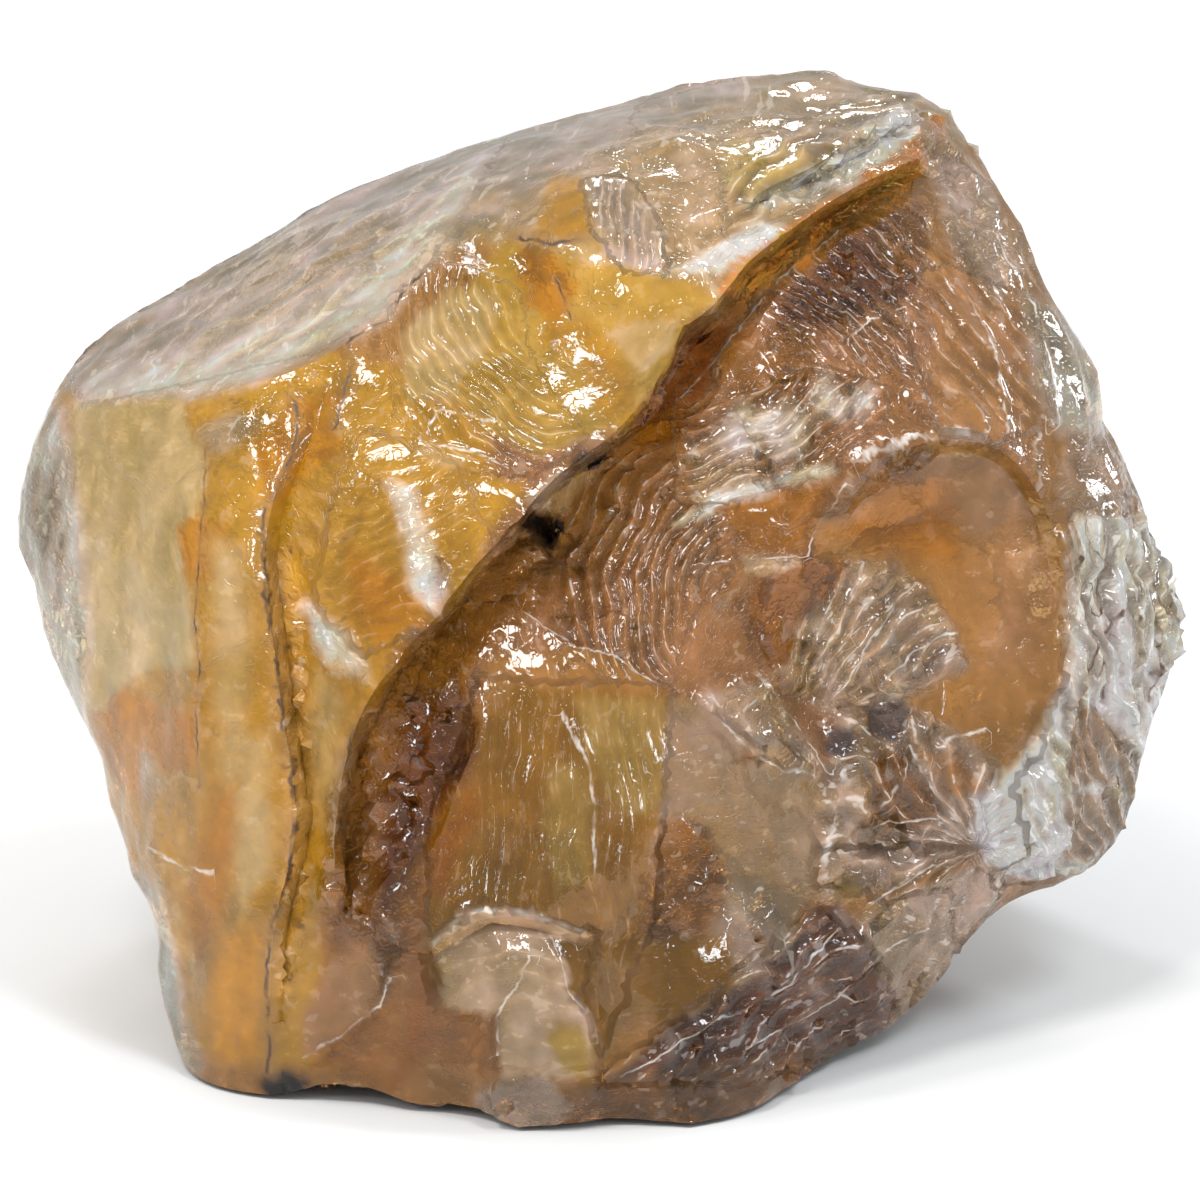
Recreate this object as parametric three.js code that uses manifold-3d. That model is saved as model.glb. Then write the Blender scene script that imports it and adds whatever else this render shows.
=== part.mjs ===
// A rough chunk of golden healer quartz: one broken piece of massive quartz, 71 mm wide, that rests on a flat
// break. Its faces are natural breaks: a clear top face at the left, a yellow mass that ends in a deep ledge
// from the top right to the lower left, a brown recess under the ledge, a honey-coloured dish at the right, a
// clear flaky rim beyond the dish, a dark undercut at the lower right, and wide shallow bowls round the back.
//
// Millimetres, +Z up, +X to the right of someone who looks at the front, which faces -Y.
// The origin is in the plane of the resting face, below the middle of the stone's box.

import * as THREE from "three";
import Module from "manifold-3d";
import { mergeVertices } from "three/addons/utils/BufferGeometryUtils.js";

const wasm = await Module();
wasm.setup();

// Driving dimensions

const EYE_TILT = THREE.MathUtils.degToRad(15); // the front view looks down on the stone by this much
const EYE_DISTANCE = 450; // from the eye to the point that the view is centred on
const VIEW_MIDDLE = new THREE.Vector3(-0.03, -1.28, 24.4); // the point that the front view is centred on
const RIDGE_SPACING = 2; // longest step between two corners along a ridge
const FRONT_EDGE = 3.2; // longest facet edge on the front
const BACK_EDGE = 5.6; // longest facet edge on the back and underneath
const SAME_CORNER = 0.45; // corners closer than this in the view are one corner
const SMOOTHING_ROUNDS = 5; // rounds that ease the faces between the ridges
const STEP_REACH = 0.75; // how far the foot of a step shows beyond its lip
const STONE_MIDDLE = new THREE.Vector3(0, 0.7, 24); // the bowls of the back are set round this point

// Corners of the stone, as the front view shows them: [across, up, towards the eye] from the view's middle.

// The silhouette, clockwise from the left tip. Its lower stretch stands on the resting face.
const SILHOUETTE = [
  [-35.4, 4.8, -2], [-35, 7, -2], [-34, 10.3, -2], [-32.8, 13.4, -3], [-30.8, 15.4, -5], [-28.8, 17, -7],
  [-26.5, 18.3, -8], [-23.3, 20, -10], [-21, 21.4, -10], [-18, 23.4, -11], [-15.4, 24.7, -11], [-12, 26, -11],
  [-9, 27.2, -11], [-6, 28.2, -10], [-2, 29.2, -10], [1.5, 30.1, -10], [4.5, 31, -10], [8, 31.5, -9],
  [10.8, 31.9, -9], [13.8, 32, -8], [14.9, 31.3, -8], [18.2, 31, -6], [20.2, 30.2, -5], [21.8, 28.7, -4],
  [22.8, 26.8, -3], [24, 25.1, -3], [25.2, 23.2, -2], [26.3, 20.7, -2], [26.3, 19.2, -1], [27.6, 17.7, -1],
  [29.2, 15.2, -2], [30.7, 12.4, -2], [30.4, 10.8, -2], [32.1, 8.2, -3], [32.5, 6, -3], [33.1, 4, -4],
  [35, 0.6, -4], [35.3, -1.8, -4], [34.4, -3.6, -3], [34, -5.6, -2], [33.2, -7.8, -1], [32.2, -9.6, -1],
  [32.5, -11.7, -1], [31.9, -14, 0], [30, -16, 0], [28.8, -17, 0], [26, -17.5, 1], [24.4, -18.1, 2],
  [22.6, -19.6, 3], [20.7, -22, 3], [20, -24, 4], [17.5, -25.5, 6], [15, -27, 8.5], [12.2, -28.5, 12],
  [10.5, -30.1, 16], [8.5, -31.2, 18.6], [5.5, -31.7, 20], [1.5, -31.1, 19.4], [-1.5, -31.5, 20],
  [-3.2, -32.1, 21], [-4.9, -31.9, 20.6], [-6.3, -31, 19], [-7.9, -30.2, 18], [-10.5, -30.6, 17.6],
  [-12.8, -30.2, 17], [-13.9, -29.3, 16.6], [-15.3, -29, 16.2], [-17, -29.2, 15.8], [-18.4, -30, 15.4],
  [-21.5, -30, 14.8], [-23.6, -29.5, 13.6], [-25.1, -28.6, 10.6], [-25.7, -26.5, 8.6], [-26.5, -24, 7.6],
  [-27, -21, 7], [-27.6, -18.2, 6], [-28.9, -15.6, 5], [-28.8, -14.4, 5], [-29.8, -12.8, 4], [-30.3, -10, 3],
  [-31.4, -7.7, 2], [-32.9, -4, 0], [-33.9, -1, -1], [-34.2, 1, -1], [-35, 1.7, -2],
];

// Steps: the surface drops from a lip to a foot close beside it, on the left of the way in which the lip is
// drawn. [across, up, towards, drop to the foot].
const STEPS = {
  ledge: [
    [19.9, 27.3, 4, 2], [17.5, 26, 7, 3.5], [15, 24.9, 9, 5], [12.5, 23.2, 11.5, 6], [10, 21.5, 13.5, 6.5],
    [8.3, 20.3, 15, 6.5], [7.4, 18.2, 16.5, 7], [6.6, 17.2, 17, 7], [5, 16.6, 18, 7.5], [4.2, 14.5, 19, 7.5],
    [2.7, 12, 20, 7.5], [0.8, 9.9, 21, 7.5], [-0.8, 9.2, 21.5, 8], [-2, 8.2, 22, 8.5], [-3.5, 6.8, 22.3, 9],
    [-4.8, 5.3, 22.6, 9], [-6, 3.9, 22.8, 7], [-7.8, 2, 22.8, 5.5], [-9.2, 0.2, 22.8, 4.5],
    [-11.2, -2.1, 22.4, 4],
    [-13, -4.2, 22, 3.5], [-14.4, -6.3, 21.6, 3.2], [-15.3, -9, 21.4, 3.2], [-16, -12, 21, 3],
    [-16.3, -15, 20.6, 2.4], [-16.2, -18, 20.2, 1.4],
  ],
  whiteCrown: [[18.4, 29.2, 1.8, 0.6], [16, 27.9, 4.2, 1], [13, 26.2, 7.6, 1.2], [8.6, 24.4, 11.2, 0.5]],
  crack: [
    [-17.6, 12, 16.6, 0.2], [-18.3, 9.5, 17.6, 0.6], [-20, 6, 18.6, 1], [-20.5, 3, 19, 1.6],
    [-20.3, 0, 19.2, 1.8],
    [-19.7, -3, 19.6, 2], [-19.4, -6, 19.7, 1.8], [-18.9, -9, 19.7, 1.7], [-18.5, -12, 19.7, 1.7],
    [-18.2, -14, 19.6, 1.6], [-18.8, -16.5, 19, 1.2], [-19.8, -19, 18.5, 1], [-20, -22, 18.1, 0.8],
    [-20, -25.6, 17.2, 0.5],
  ],
  pinkFaceEdge: [
    [4, -5.4, 21, 0.4], [6, -6.2, 20.8, 1], [8.6, -8.5, 20, 1.3], [10.6, -10.3, 19, 1.4],
    [13, -11.6, 17.6, 1],
  ],
  goldFacetEdge: [
    [-10.6, -20.6, 22, 0.3], [-10.3, -18, 22.4, 1], [-9.8, -14.4, 22.2, 1.4], [-8.6, -11.5, 22, 1.5],
    [-7, -8, 21.6, 1.4], [-6.7, -4.8, 20.9, 0.6],
  ],
  oliveEdge: [[4, -6.6, 21, 0.2], [3.7, -10.6, 21.8, 0.8], [2.8, -15, 22.2, 1.2], [2, -19.2, 22.2, 0.6]],
  flakeScar: [
    [-0.5, -20.4, 22.8, 0.4], [-2, -19.7, 23.6, 0.9], [-4.2, -19.1, 24, 1.3], [-6.6, -18.7, 23.8, 1.4],
    [-8.8, -19.4, 23, 1.1], [-10.4, -21.6, 21.8, 0.4],
  ],
  flakeLobe: [
    [-3.2, -20.9, 23.8, 0.5], [-2.2, -22.2, 24, 1.2], [-1.9, -23.6, 23.8, 1.3], [-0.2, -25.4, 22.8, 1],
    [-0.6, -28.4, 21.6, 0.5],
  ],
  dishRim: [
    [28.6, -2.4, 7, 0.2], [28.3, 1, 7, 0.4], [27.4, 4.6, 7.6, 0.7], [26.2, 7.4, 8.8, 1],
    [24.4, 9.4, 10.8, 1.3],
    [22.5, 10.1, 12.4, 1.5], [20.5, 10.1, 13.6, 1.6], [18.5, 9.5, 14.8, 1.6], [16.5, 8.7, 15.6, 1.5],
    [14.6, 7.7, 16, 1.1],
  ],
  flakyCrack: [
    [29.3, 4.6, 6.6, 0.3], [29.7, 1, 6, 0.7], [30.2, -2.6, 5.8, 0.9], [29.2, -5.2, 7.2, 0.8],
    [28.8, -8, 7.8, 0.8],
    [28.5, -10.6, 7.6, 0.4],
  ],
};

// Ridges and creases of the front, each drawn from corner to corner.
const RIDGES = {
  topFaceCrest: [
    [-31.3, 12.3, 5], [-28.5, 12, 9], [-25, 12, 12.5], [-21.5, 12.8, 15], [-19, 13.4, 16], [-16, 14.8, 16],
    [-14.7, 16.2, 15.3], [-12.2, 18, 13.8], [-11, 20, 11.8], [-10, 22.3, 9], [-8.2, 24.6, 5], [-7, 26.3, 0],
  ],
  topFaceStreak: [
    [-29, 14.6, 1], [-24.5, 14.8, 6], [-20.3, 16.2, 8], [-18, 18.4, 5.5], [-15.8, 21.8, 1.5],
    [-11.8, 24.3, -2],
  ],
  leftRimFold: [
    [-34, 7, 1], [-34.2, 4, 1.2], [-33, 1.2, 3], [-32, -2, 4.2], [-31.2, -5.6, 4.6], [-30.4, -8, 5.4],
  ],
  paleWindowEdge: [
    [-31.3, 12.3, 5], [-32.2, 9, 5], [-31.9, 5, 6], [-31.4, 2, 6.6], [-30.4, -1.6, 7.6], [-29.2, -4.8, 9],
  ],
  lowerLeftShell: [[-30.4, -8, 5.4], [-29.2, -4.8, 9], [-26.8, -4.4, 13], [-24.3, -6.6, 17.4]],
  goldBandEdge: [
    [-24.8, 12, 12.8], [-24.2, 9.6, 15], [-24.3, 6, 16.4], [-25, 3.6, 16.6], [-24.5, 0, 17.4],
    [-24.2, -4, 17.6],
    [-24.3, -6.6, 17.4], [-24.2, -10, 17.2],
  ],
  lowerLeftStep: [[-27.4, -13.6, 10.6], [-27, -15.2, 11.4], [-24.6, -16.2, 14.4], [-22, -16.9, 16.4]],
  glossyCrest: [
    [-16.4, 13.4, 16.6], [-15.9, 10.2, 18], [-13.3, 7.6, 20], [-11.7, 4.4, 21.8], [-10.1, 1.4, 22.8],
  ],
  hollowRim: [
    [-5.8, 22, 10.5], [-3, 21.4, 13], [-0.2, 21.9, 13.4], [0.5, 20.6, 14.6], [2.5, 19.7, 15.4],
    [4.7, 19, 16.6],
  ],
  hollowFloor: [[-4.6, 20, 11.6], [-3, 17.6, 13], [-1.6, 16, 14.6], [0.4, 15.4, 15.4], [2.2, 13, 18.2]],
  upperChip: [[-0.6, 24.6, 11], [0, 22.4, 13.2], [0.5, 20.6, 14.6]],
  upperChipRight: [[2.4, 25, 9], [3.4, 23, 11.8], [4.4, 20.8, 14.2]],
  crownLine: [
    [-3, 26.8, 2.5], [0.4, 27.4, 3], [3.2, 28, 2.6], [7.4, 27.2, 6.4], [10, 28, 5], [13.4, 27.2, 6.4],
    [16.6, 28.6, 3.4], [18.6, 29, 1.6],
  ],
  grooveRidge: [
    [18.6, 24.2, 6.4], [16.4, 22.6, 8.6], [14.2, 21.4, 10], [11, 18.7, 12], [9.6, 16.7, 13.6],
    [8.2, 14.4, 15],
    [7, 12, 16], [5.6, 9.9, 16.8], [4.2, 8.4, 17],
  ],
  smokyFaceFoot: [
    [13.2, 15.9, 12.6], [15.4, 16.6, 12.4], [17.6, 18.1, 10.6], [20.4, 18.4, 8.6], [21.6, 20, 6.4],
    [21, 22, 5.2],
  ],
  rightShoulder: [
    [20.8, 22.6, 4.6], [22, 20.6, 5.4], [20.8, 17.6, 9], [19, 15.6, 11.4], [17.4, 13, 13.6],
    [15.2, 10.4, 15.2],
  ],
  clearLump: [[25.2, 19.2, 2.4], [25.6, 16.6, 4.2], [26, 14.2, 5], [27.4, 12.6, 5], [29.2, 12, 3]],
  dishFoot: [[28.6, -2.4, 7], [27.6, -5.4, 8.4], [25.6, -7.5, 10.4], [23.2, -8.9, 12]],
  dishLeft: [[14.6, 7.7, 16], [13.3, 5, 15.8], [12.6, 2.8, 16]],
  brightSill: [[4.6, 4.9, 18], [7.4, 6.4, 17.6], [10.4, 7, 17], [14.6, 7.7, 16]],
  lowerSill: [[7, 2.6, 18.8], [9.4, 2.2, 18.2], [10.6, 2.9, 17.2], [12.6, 2.8, 16], [14.6, 2.4, 14.8]],
  wedgeLeft: [[9, 1.4, 18.2], [9.6, -1.6, 17.4], [10.2, -4.5, 16.4]],
  shardEdge: [[14.6, 2.4, 14.8], [13, -0.4, 14.6], [11.8, -2.6, 15], [11.2, -4.1, 15.6]],
  shardFoot: [[10.2, -4.5, 16.4], [11.8, -7, 16.4], [13.2, -9.6, 16.2], [14, -11.4, 16]],
  shardRight: [
    [14.8, 2.2, 14.6], [18, 1.4, 12.8], [19.6, -0.4, 12.2], [20.6, -2.6, 12.4], [21.4, -4.8, 12.8],
  ],
  middleSill: [[-6.7, -4.1, 20.6], [-4.4, -4.2, 21.2], [-1.2, -3.6, 21.6], [1.4, -4.2, 21.6], [4, -5.4, 21]],
  goldRidge: [[-3, -6, 21.8], [-1.3, -9.4, 23.2], [-0.5, -12.6, 23.8], [-0.3, -18.2, 24]],
  flakeFold: [[-3.2, -20.9, 23.8], [-5.4, -22.2, 23.8], [-5.2, -24.6, 23.4], [-8.8, -24.7, 21.6]],
  flakeLeft: [[-5.2, -24.6, 23.4], [-5.8, -27, 22.4], [-5.6, -29.4, 21.2]],
  lowerLeftFlake: [
    [-18.4, -26.8, 16.8], [-15.6, -26.2, 18.4], [-13.4, -24.8, 20], [-12.6, -23.2, 20.8], [-11.4, -21, 21.4],
  ],
  undercutCrest: [
    [1.2, -27.6, 21.6], [5.2, -25.4, 21.2], [8, -23.6, 20.2], [11.4, -21.8, 18.4], [14.2, -21.4, 16.2],
    [16.4, -20.8, 14.6], [18.8, -18.6, 13.4], [21, -16.2, 12], [23, -15, 11], [26.4, -14.6, 8.4],
    [29, -13.2, 5.8],
  ],
  undercutSill: [
    [-1.6, -29.8, 21.8], [3.2, -28.1, 21.2], [7.4, -28, 19.8], [10.4, -27.6, 16.6], [13, -27.1, 12.4],
  ],
  spurEdge: [[16.4, -20.8, 14.6], [17.6, -23.6, 10.6], [17.4, -24.4, 9.4]],
  spurGroove: [[22, -17.2, 9.4], [20.8, -19, 8.6], [19.6, -21.6, 7.8], [18.4, -23.4, 7.8]],
  fanBone: [[19, -9.4, 14.4], [20.4, -11.6, 13], [22.6, -14.6, 11.2]],
  fanLeft: [[15.4, -9.4, 15.4], [14.2, -12.4, 16.4], [13.2, -15.6, 16.8], [13, -18.6, 16.6]],
  fanFoot: [[15.6, -15, 13.8], [17.2, -16.8, 14.2], [20.6, -16.2, 12.4]],
  fanSill: [[16.8, -14.1, 12.4], [19.4, -15, 12], [21.4, -15.4, 11.8]],
  facetNotch: [
    [16.6, -6.8, 13.6], [18.2, -5.4, 13.6], [18.9, -7, 12.2], [17.6, -8.6, 12.6], [15.8, -7.4, 14.4],
  ],
  flakyCrackRight: [[29.9, -2.6, 5.6], [31.6, -0.8, 4], [33, -1, 2.6], [34, -2, 1.4]],
  flakyTop: [[27, 6, 7.4], [28.6, 5.1, 6.2], [30.4, 5, 4.6], [31.6, 5.6, 2]],
  endFacet: [[29, -5.6, 6.8], [30.2, -6.6, 5], [31.2, -8.6, 3], [30.8, -11.2, 3.2], [28.3, -10.6, 7.4]],
};

// Single corners in the faces between the ridges, which give each face its dish or bulge.
const FACE_POINTS = {
  topFace: [[-29.6, 15.4, -1.6], [-26, 16.8, -1.4], [-22, 18.6, -1.6], [-19, 21.4, -4.6], [-14.8, 23.4, -5]],
  paleWindow: [[-28.4, 8.4, 10], [-28.4, 3, 11.2], [-27.4, -1.4, 13], [-33.2, 10.2, 2]],
  goldBand: [[-22.2, 8, 17], [-22.4, 2, 18.4], [-22, -5, 18.6], [-22, -11, 18.6], [-21.6, -14.6, 18.6]],
  lowerLeft: [
    [-28, -9, 10.6], [-26, -12, 14.4], [-26.2, -18.6, 12], [-25, -23, 12.6], [-24.2, -26.8, 13.6],
    [-22.4, -20.6, 16.4], [-21.8, -25.6, 16.2], [-21, -28.6, 15.4],
  ],
  yellowFace: [
    [-16.6, 7, 18.6], [-15.8, 2, 20], [-13, 0.4, 21.4], [-16, -5, 20], [-16.6, -10.6, 19.8], [-8, 6, 22.6],
    [-5.2, 7.4, 22.6],
  ],
  ripples: [
    [-12.4, 15, 15.4], [-9.6, 18, 13.6], [-8.6, 13, 17.4], [-9.4, 9.6, 19.6], [-4.8, 12, 18],
    [-5.6, 16.6, 14.2], [-1.6, 11, 19.6],
  ],
  upperMass: [
    [-7.6, 22.6, 8.6], [-5.6, 25, 6], [-2.6, 24, 9.4], [1.4, 23.4, 11.2], [1.2, 25.6, 8], [5.4, 25.4, 9.6],
    [6.6, 22.6, 13], [3.2, 17.4, 16.6], [2.8, 15.2, 17.6], [10.4, 25.8, 8.8], [-4, 27.6, -3], [1, 29, -3.6],
    [6, 29.6, -2.6], [11, 30.2, -2.6], [15.4, 29.8, -2], [18.8, 30, -2],
  ],
  recess: [
    [12.2, 20.4, 7.4], [9, 17.2, 9.6], [6.4, 13.6, 11.6], [3.6, 10, 13.6], [0.8, 7, 14.6], [-3.1, 4, 9.6],
    [-1.6, 4.2, 15], [-2.6, 2.2, 16], [-5, 1.6, 16.6],
  ],
  smokyFace: [
    [17, 21, 8.4], [19.2, 21.8, 6.2], [13.8, 18.6, 11], [11.4, 15.4, 13.6], [10, 12, 15], [13, 12.6, 14],
    [16, 14.2, 13],
  ],
  rightTop: [
    [21.4, 25.2, 2.6], [23.4, 23.6, 1.4], [24.2, 21, 2], [23.6, 17.4, 5.4], [22.6, 14, 9.4], [24.8, 12, 8.2],
    [27.8, 15.4, 3.6],
  ],
  rightEdge: [[26.6, 10.2, 6.6], [28.8, 9.6, 4.4], [29.4, 7.2, 4.2], [31, 8, 1.4]],
  dish: [
    [17.6, 6, 11.6], [21, 6.4, 9.6], [24.6, 5.4, 7.8], [17.6, 3.4, 11.2], [22, 1.6, 8.6], [25.6, 1, 7.2],
    [24, -2.6, 9], [25.4, -5, 9.8], [22.4, -6, 12],
  ],
  aboveDish: [[20.4, 12.6, 11.6], [18, 11.4, 13.4], [12.4, 9.4, 15.6]],
  underSill: [[10, 4.8, 16.2], [12, 5.4, 15.6], [8, 4.4, 17.4], [12, 0.2, 14.6], [11, -1.8, 15]],
  swirl: [
    [-3.2, 2.2, 17.6], [-0.6, 4.6, 17.2], [1.8, 5.6, 17.4], [1.6, 2, 18.8], [4.6, 2.4, 19.2],
    [-1.6, -0.6, 19.8],
    [2.4, -1.6, 20.6], [5.6, -0.8, 19.6], [-5.2, -1.4, 19.4], [5.8, -4, 20], [8, -5.6, 18.8],
  ],
  shard: [
    [14.6, -0.8, 14.8], [13.6, -4, 15.4], [16.8, -2.2, 13.8], [18.4, -3.2, 13.4], [14.4, -6.6, 15.4],
    [20, -7.6, 12.6],
  ],
  smokyHollow: [
    [-11, -4, 19.4], [-12.4, -8, 19.2], [-9.6, -8, 19.6], [-13, -12.4, 19.4], [-13.4, -17, 20.2],
    [-12.2, -20, 21.4], [-15, -22, 19.8],
  ],
  lowerCentre: [
    [-5, -8.6, 21.8], [-6.6, -14, 22.4], [-4.2, -14.6, 22.2], [1, -8, 21.8], [1.2, -14, 22.2],
    [5.8, -10.6, 20.6],
    [5.4, -16, 21.2], [8.4, -13, 19.2], [10.6, -15.4, 18.2], [10.4, -19, 18.2], [6.4, -20.6, 20.4],
    [3.4, -23.4, 21.6],
    [0.6, -23.4, 23],
  ],
  lowerFront: [
    [-8, -22, 21.6], [-12.8, -27.4, 18.8], [-8.6, -27.6, 20], [-3.4, -27.2, 22.8], [-3.6, -29.8, 22.2],
    [-16.6, -24, 18],
  ],
  undercut: [
    [9, -25.8, 17.6], [13, -24.4, 13.4], [15.4, -24.4, 10.2], [6, -29.8, 20.2], [9.4, -29.4, 17.4],
    [24.2, -16.4, 7.4],
    [27.8, -15.6, 5],
  ],
  fan: [
    [17.4, -10.8, 13], [17.8, -13, 11.6], [20, -13.6, 12], [15.6, -18.2, 15], [18.4, -17.6, 13],
    [22.4, -11.4, 12.2],
  ],
  fanRight: [[24.6, -11, 11], [26.2, -10.2, 9.6], [25, -13.2, 9.8], [27.4, -12.4, 8], [30, -12.6, 4.2]],
  flaky: [
    [30.6, 2.4, 4.4], [32.2, 2, 2], [31.4, -3.6, 4.2], [32.6, -5, 2.4], [30.8, -5.2, 4.6], [29.4, -8.6, 5.6],
  ],
};

// The back and the underside, seen through the stone: towards is negative behind the middle. The last two
// groups lie at or under the resting face, which trims them flat.
const BACK_RIDGES = {
  backCrest: [[-27, 11, -17], [-16, 15, -25], [-4, 17, -29], [9, 15.6, -29], [19, 12, -24], [26.6, 5, -16]],
  backKeel: [[-4, 17, -29], [-3, 4, -33.4], [-1, -7, -31], [1, -16.6, -27]],
  leftRib: [[-27, 11, -17], [-28.6, 0, -15.6], [-25.4, -10, -15], [-22.6, -19, -12]],
  rightRib: [[26.6, 5, -16], [26, -6, -13.4], [20.6, -14, -13.6], [14.6, -20.4, -10]],
};
const BACK_POINTS = {
  upperBack: [
    [-20, 18.4, -17], [-9, 22.6, -21], [3, 25, -21], [14, 24.6, -18], [20, 21, -14], [24.4, 14, -13],
  ],
  middleBack: [
    [-15, 4, -29], [-14.6, -8, -27], [8, 5, -32], [10, -7, -28.6], [18, 0, -24], [30.4, 2, -9.4],
    [-32, 4, -9],
  ],
  lowBack: [
    [-18, -15.6, -20], [-7, -15.4, -27.6], [9, -15.4, -22], [24, -13, -6.6], [-27.6, -14, -4],
    [29.6, -9, -6.4],
  ],
  restingBack: [[-19, -22.6, -13], [-9, -20.2, -23.6], [3, -19.6, -25.4], [11.6, -22.4, -15]],
  restingMiddle: [
    [-22.6, -25, -2], [-23.2, -27.6, 7], [-14, -25, -5], [-14, -28.4, 7], [-3, -25, -5], [-3, -29.4, 10],
    [7, -25.4, -4], [6.6, -29.2, 9], [14.6, -24.4, -3.4],
  ],
};

// Shallow bowls broken out of the back: [bearing, climb, radius of the bowl, depth of its bite]. The bearing
// is in degrees round the stone, from +X towards the back, and the climb is in degrees above level.
const BOWLS = [
  [62, 30, 60, 3.4], [112, 28, 75, 3.8], [88, 2, 48, 3], [146, 6, 45, 3.6], [34, 6, 40, 3.2],
  [66, -24, 44, 3.4], [112, -24, 38, 3.6], [150, -26, 30, 2.6], [30, -28, 26, 2.6], [134, 22, 16, 1.8],
  [76, 14, 13, 1.6], [100, -10, 12, 1.6], [44, 20, 15, 1.6], [128, -8, 14, 1.6], [52, -6, 12, 1.4],
];

// Making the corners into one closed surface

// The point on the eye's sight line through (across, up) that lies this far towards the eye.
function placeSeenPoint([across, up, towards]) {
  const shrink = 1 - towards / EYE_DISTANCE;
  const sin = Math.sin(EYE_TILT);
  const cos = Math.cos(EYE_TILT);
  const seen = new THREE.Vector3(
    across * shrink,
    up * shrink * sin - towards * cos,
    up * shrink * cos + towards * sin,
  );
  return seen.add(VIEW_MIDDLE);
}

const spanOf = (a, b) => Math.hypot(a[0] - b[0], a[1] - b[1]);

// A ridge's corners with more between them, none further apart than RIDGE_SPACING.
function densify(line, closed = false) {
  const last = closed ? line.length : line.length - 1;
  const dense = [];
  for (let i = 0; i < last; i++) {
    const a = line[i];
    const b = line[(i + 1) % line.length];
    const steps = Math.max(1, Math.ceil(spanOf(a, b) / RIDGE_SPACING));
    for (let s = 0; s < steps; s++) dense.push(a.map((value, k) => value + ((b[k] - value) * s) / steps));
  }
  if (!closed) dense.push(line.at(-1));
  return dense;
}

// The foot of a step: each corner of its lip, moved to the left of the way along it and dropped.
function footOf(lip) {
  return lip.map(([across, up, towards, drop], i) => {
    const before = lip[Math.max(0, i - 1)];
    const after = lip[Math.min(lip.length - 1, i + 1)];
    const reach = STEP_REACH / spanOf(before, after);
    return [across - reach * (after[1] - before[1]), up + reach * (after[0] - before[0]), towards - drop];
  });
}

// Corners without doubles, and the pairs of them that a ridge joins.
class Corners {
  constructor(ring) {
    this.list = [...ring];
    this.ringSize = ring.length;
    this.ridgePairs = new Set();
    for (let i = 0; i < ring.length; i++) this.join(i, (i + 1) % ring.length);
  }
  join(a, b) {
    if (a !== b) this.ridgePairs.add(pairKey(a, b));
  }
  add(point) {
    const found = this.list.findIndex((other) => spanOf(other, point) < SAME_CORNER);
    if (found >= 0) return found;
    this.list.push(point.slice(0, 3));
    return this.list.length - 1;
  }
  addRidge(line) {
    const indices = densify(line).map((point) => this.add(point));
    for (let i = 1; i < indices.length; i++) this.join(indices[i - 1], indices[i]);
  }
}

const pairKey = (a, b) => (a < b ? `${a},${b}` : `${b},${a}`);

// Delaunay triangles of the corners in the view, kept where they lie inside the silhouette.
function triangulate(corners) {
  const far = 500;
  const points = [...corners.list, [-far, -far], [far, -far], [0, far]];
  const count = corners.list.length;
  const makeTriangle = (a, b, c) => {
    const [ax, ay] = points[a];
    const [bx, by] = [points[b][0] - ax, points[b][1] - ay];
    const [cx, cy] = [points[c][0] - ax, points[c][1] - ay];
    const d = 2 * (bx * cy - by * cx);
    const ux = (cy * (bx * bx + by * by) - by * (cx * cx + cy * cy)) / d;
    const uy = (bx * (cx * cx + cy * cy) - cx * (bx * bx + by * by)) / d;
    return { corners: d > 0 ? [a, b, c] : [a, c, b], x: ax + ux, y: ay + uy, r2: ux * ux + uy * uy };
  };
  let triangles = [makeTriangle(count, count + 1, count + 2)];
  for (let i = 0; i < count; i++) {
    const [x, y] = points[i];
    const rim = new Map();
    const kept = [];
    for (const t of triangles) {
      if ((x - t.x) ** 2 + (y - t.y) ** 2 > t.r2) {
        kept.push(t);
        continue;
      }
      for (let k = 0; k < 3; k++) {
        const [a, b] = [t.corners[k], t.corners[(k + 1) % 3]];
        if (!rim.delete(pairKey(a, b))) rim.set(pairKey(a, b), [a, b]);
      }
    }
    triangles = [...kept, ...[...rim.values()].map(([a, b]) => makeTriangle(a, b, i))];
  }
  const ring = corners.list.slice(0, corners.ringSize);
  const middleOf = (t) => [0, 1].map((k) => (points[t[0]][k] + points[t[1]][k] + points[t[2]][k]) / 3);
  const isKept = (t) => t.every((index) => index < count) && isInside(middleOf(t), ring);
  return triangles.map((t) => t.corners).filter(isKept);
}

function isInside([x, y], ring) {
  let inside = false;
  for (let i = 0, j = ring.length - 1; i < ring.length; j = i++) {
    const [xi, yi] = ring[i];
    const [xj, yj] = ring[j];
    if (yi > y !== yj > y && x < ((xj - xi) * (y - yi)) / (yj - yi) + xi) inside = !inside;
  }
  return inside;
}

// A surface of shared points, with the pairs of points that lie on a ridge.
function joinFrontAndBack(front, back) {
  const points = front.list.map(placeSeenPoint);
  const isFront = points.map(() => true);
  const backIndex = back.list.map((corner, index) => {
    if (index < back.ringSize) return index;
    points.push(placeSeenPoint(corner));
    isFront.push(false);
    return points.length - 1;
  });
  const triangles = triangulate(front);
  for (const [a, b, c] of triangulate(back)) triangles.push([backIndex[a], backIndex[c], backIndex[b]]);
  const ridges = new Set(front.ridgePairs);
  for (const key of back.ridgePairs) {
    const [a, b] = key.split(",").map(Number);
    ridges.add(pairKey(backIndex[a], backIndex[b]));
  }
  return { points, isFront, triangles, ridges };
}

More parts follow.
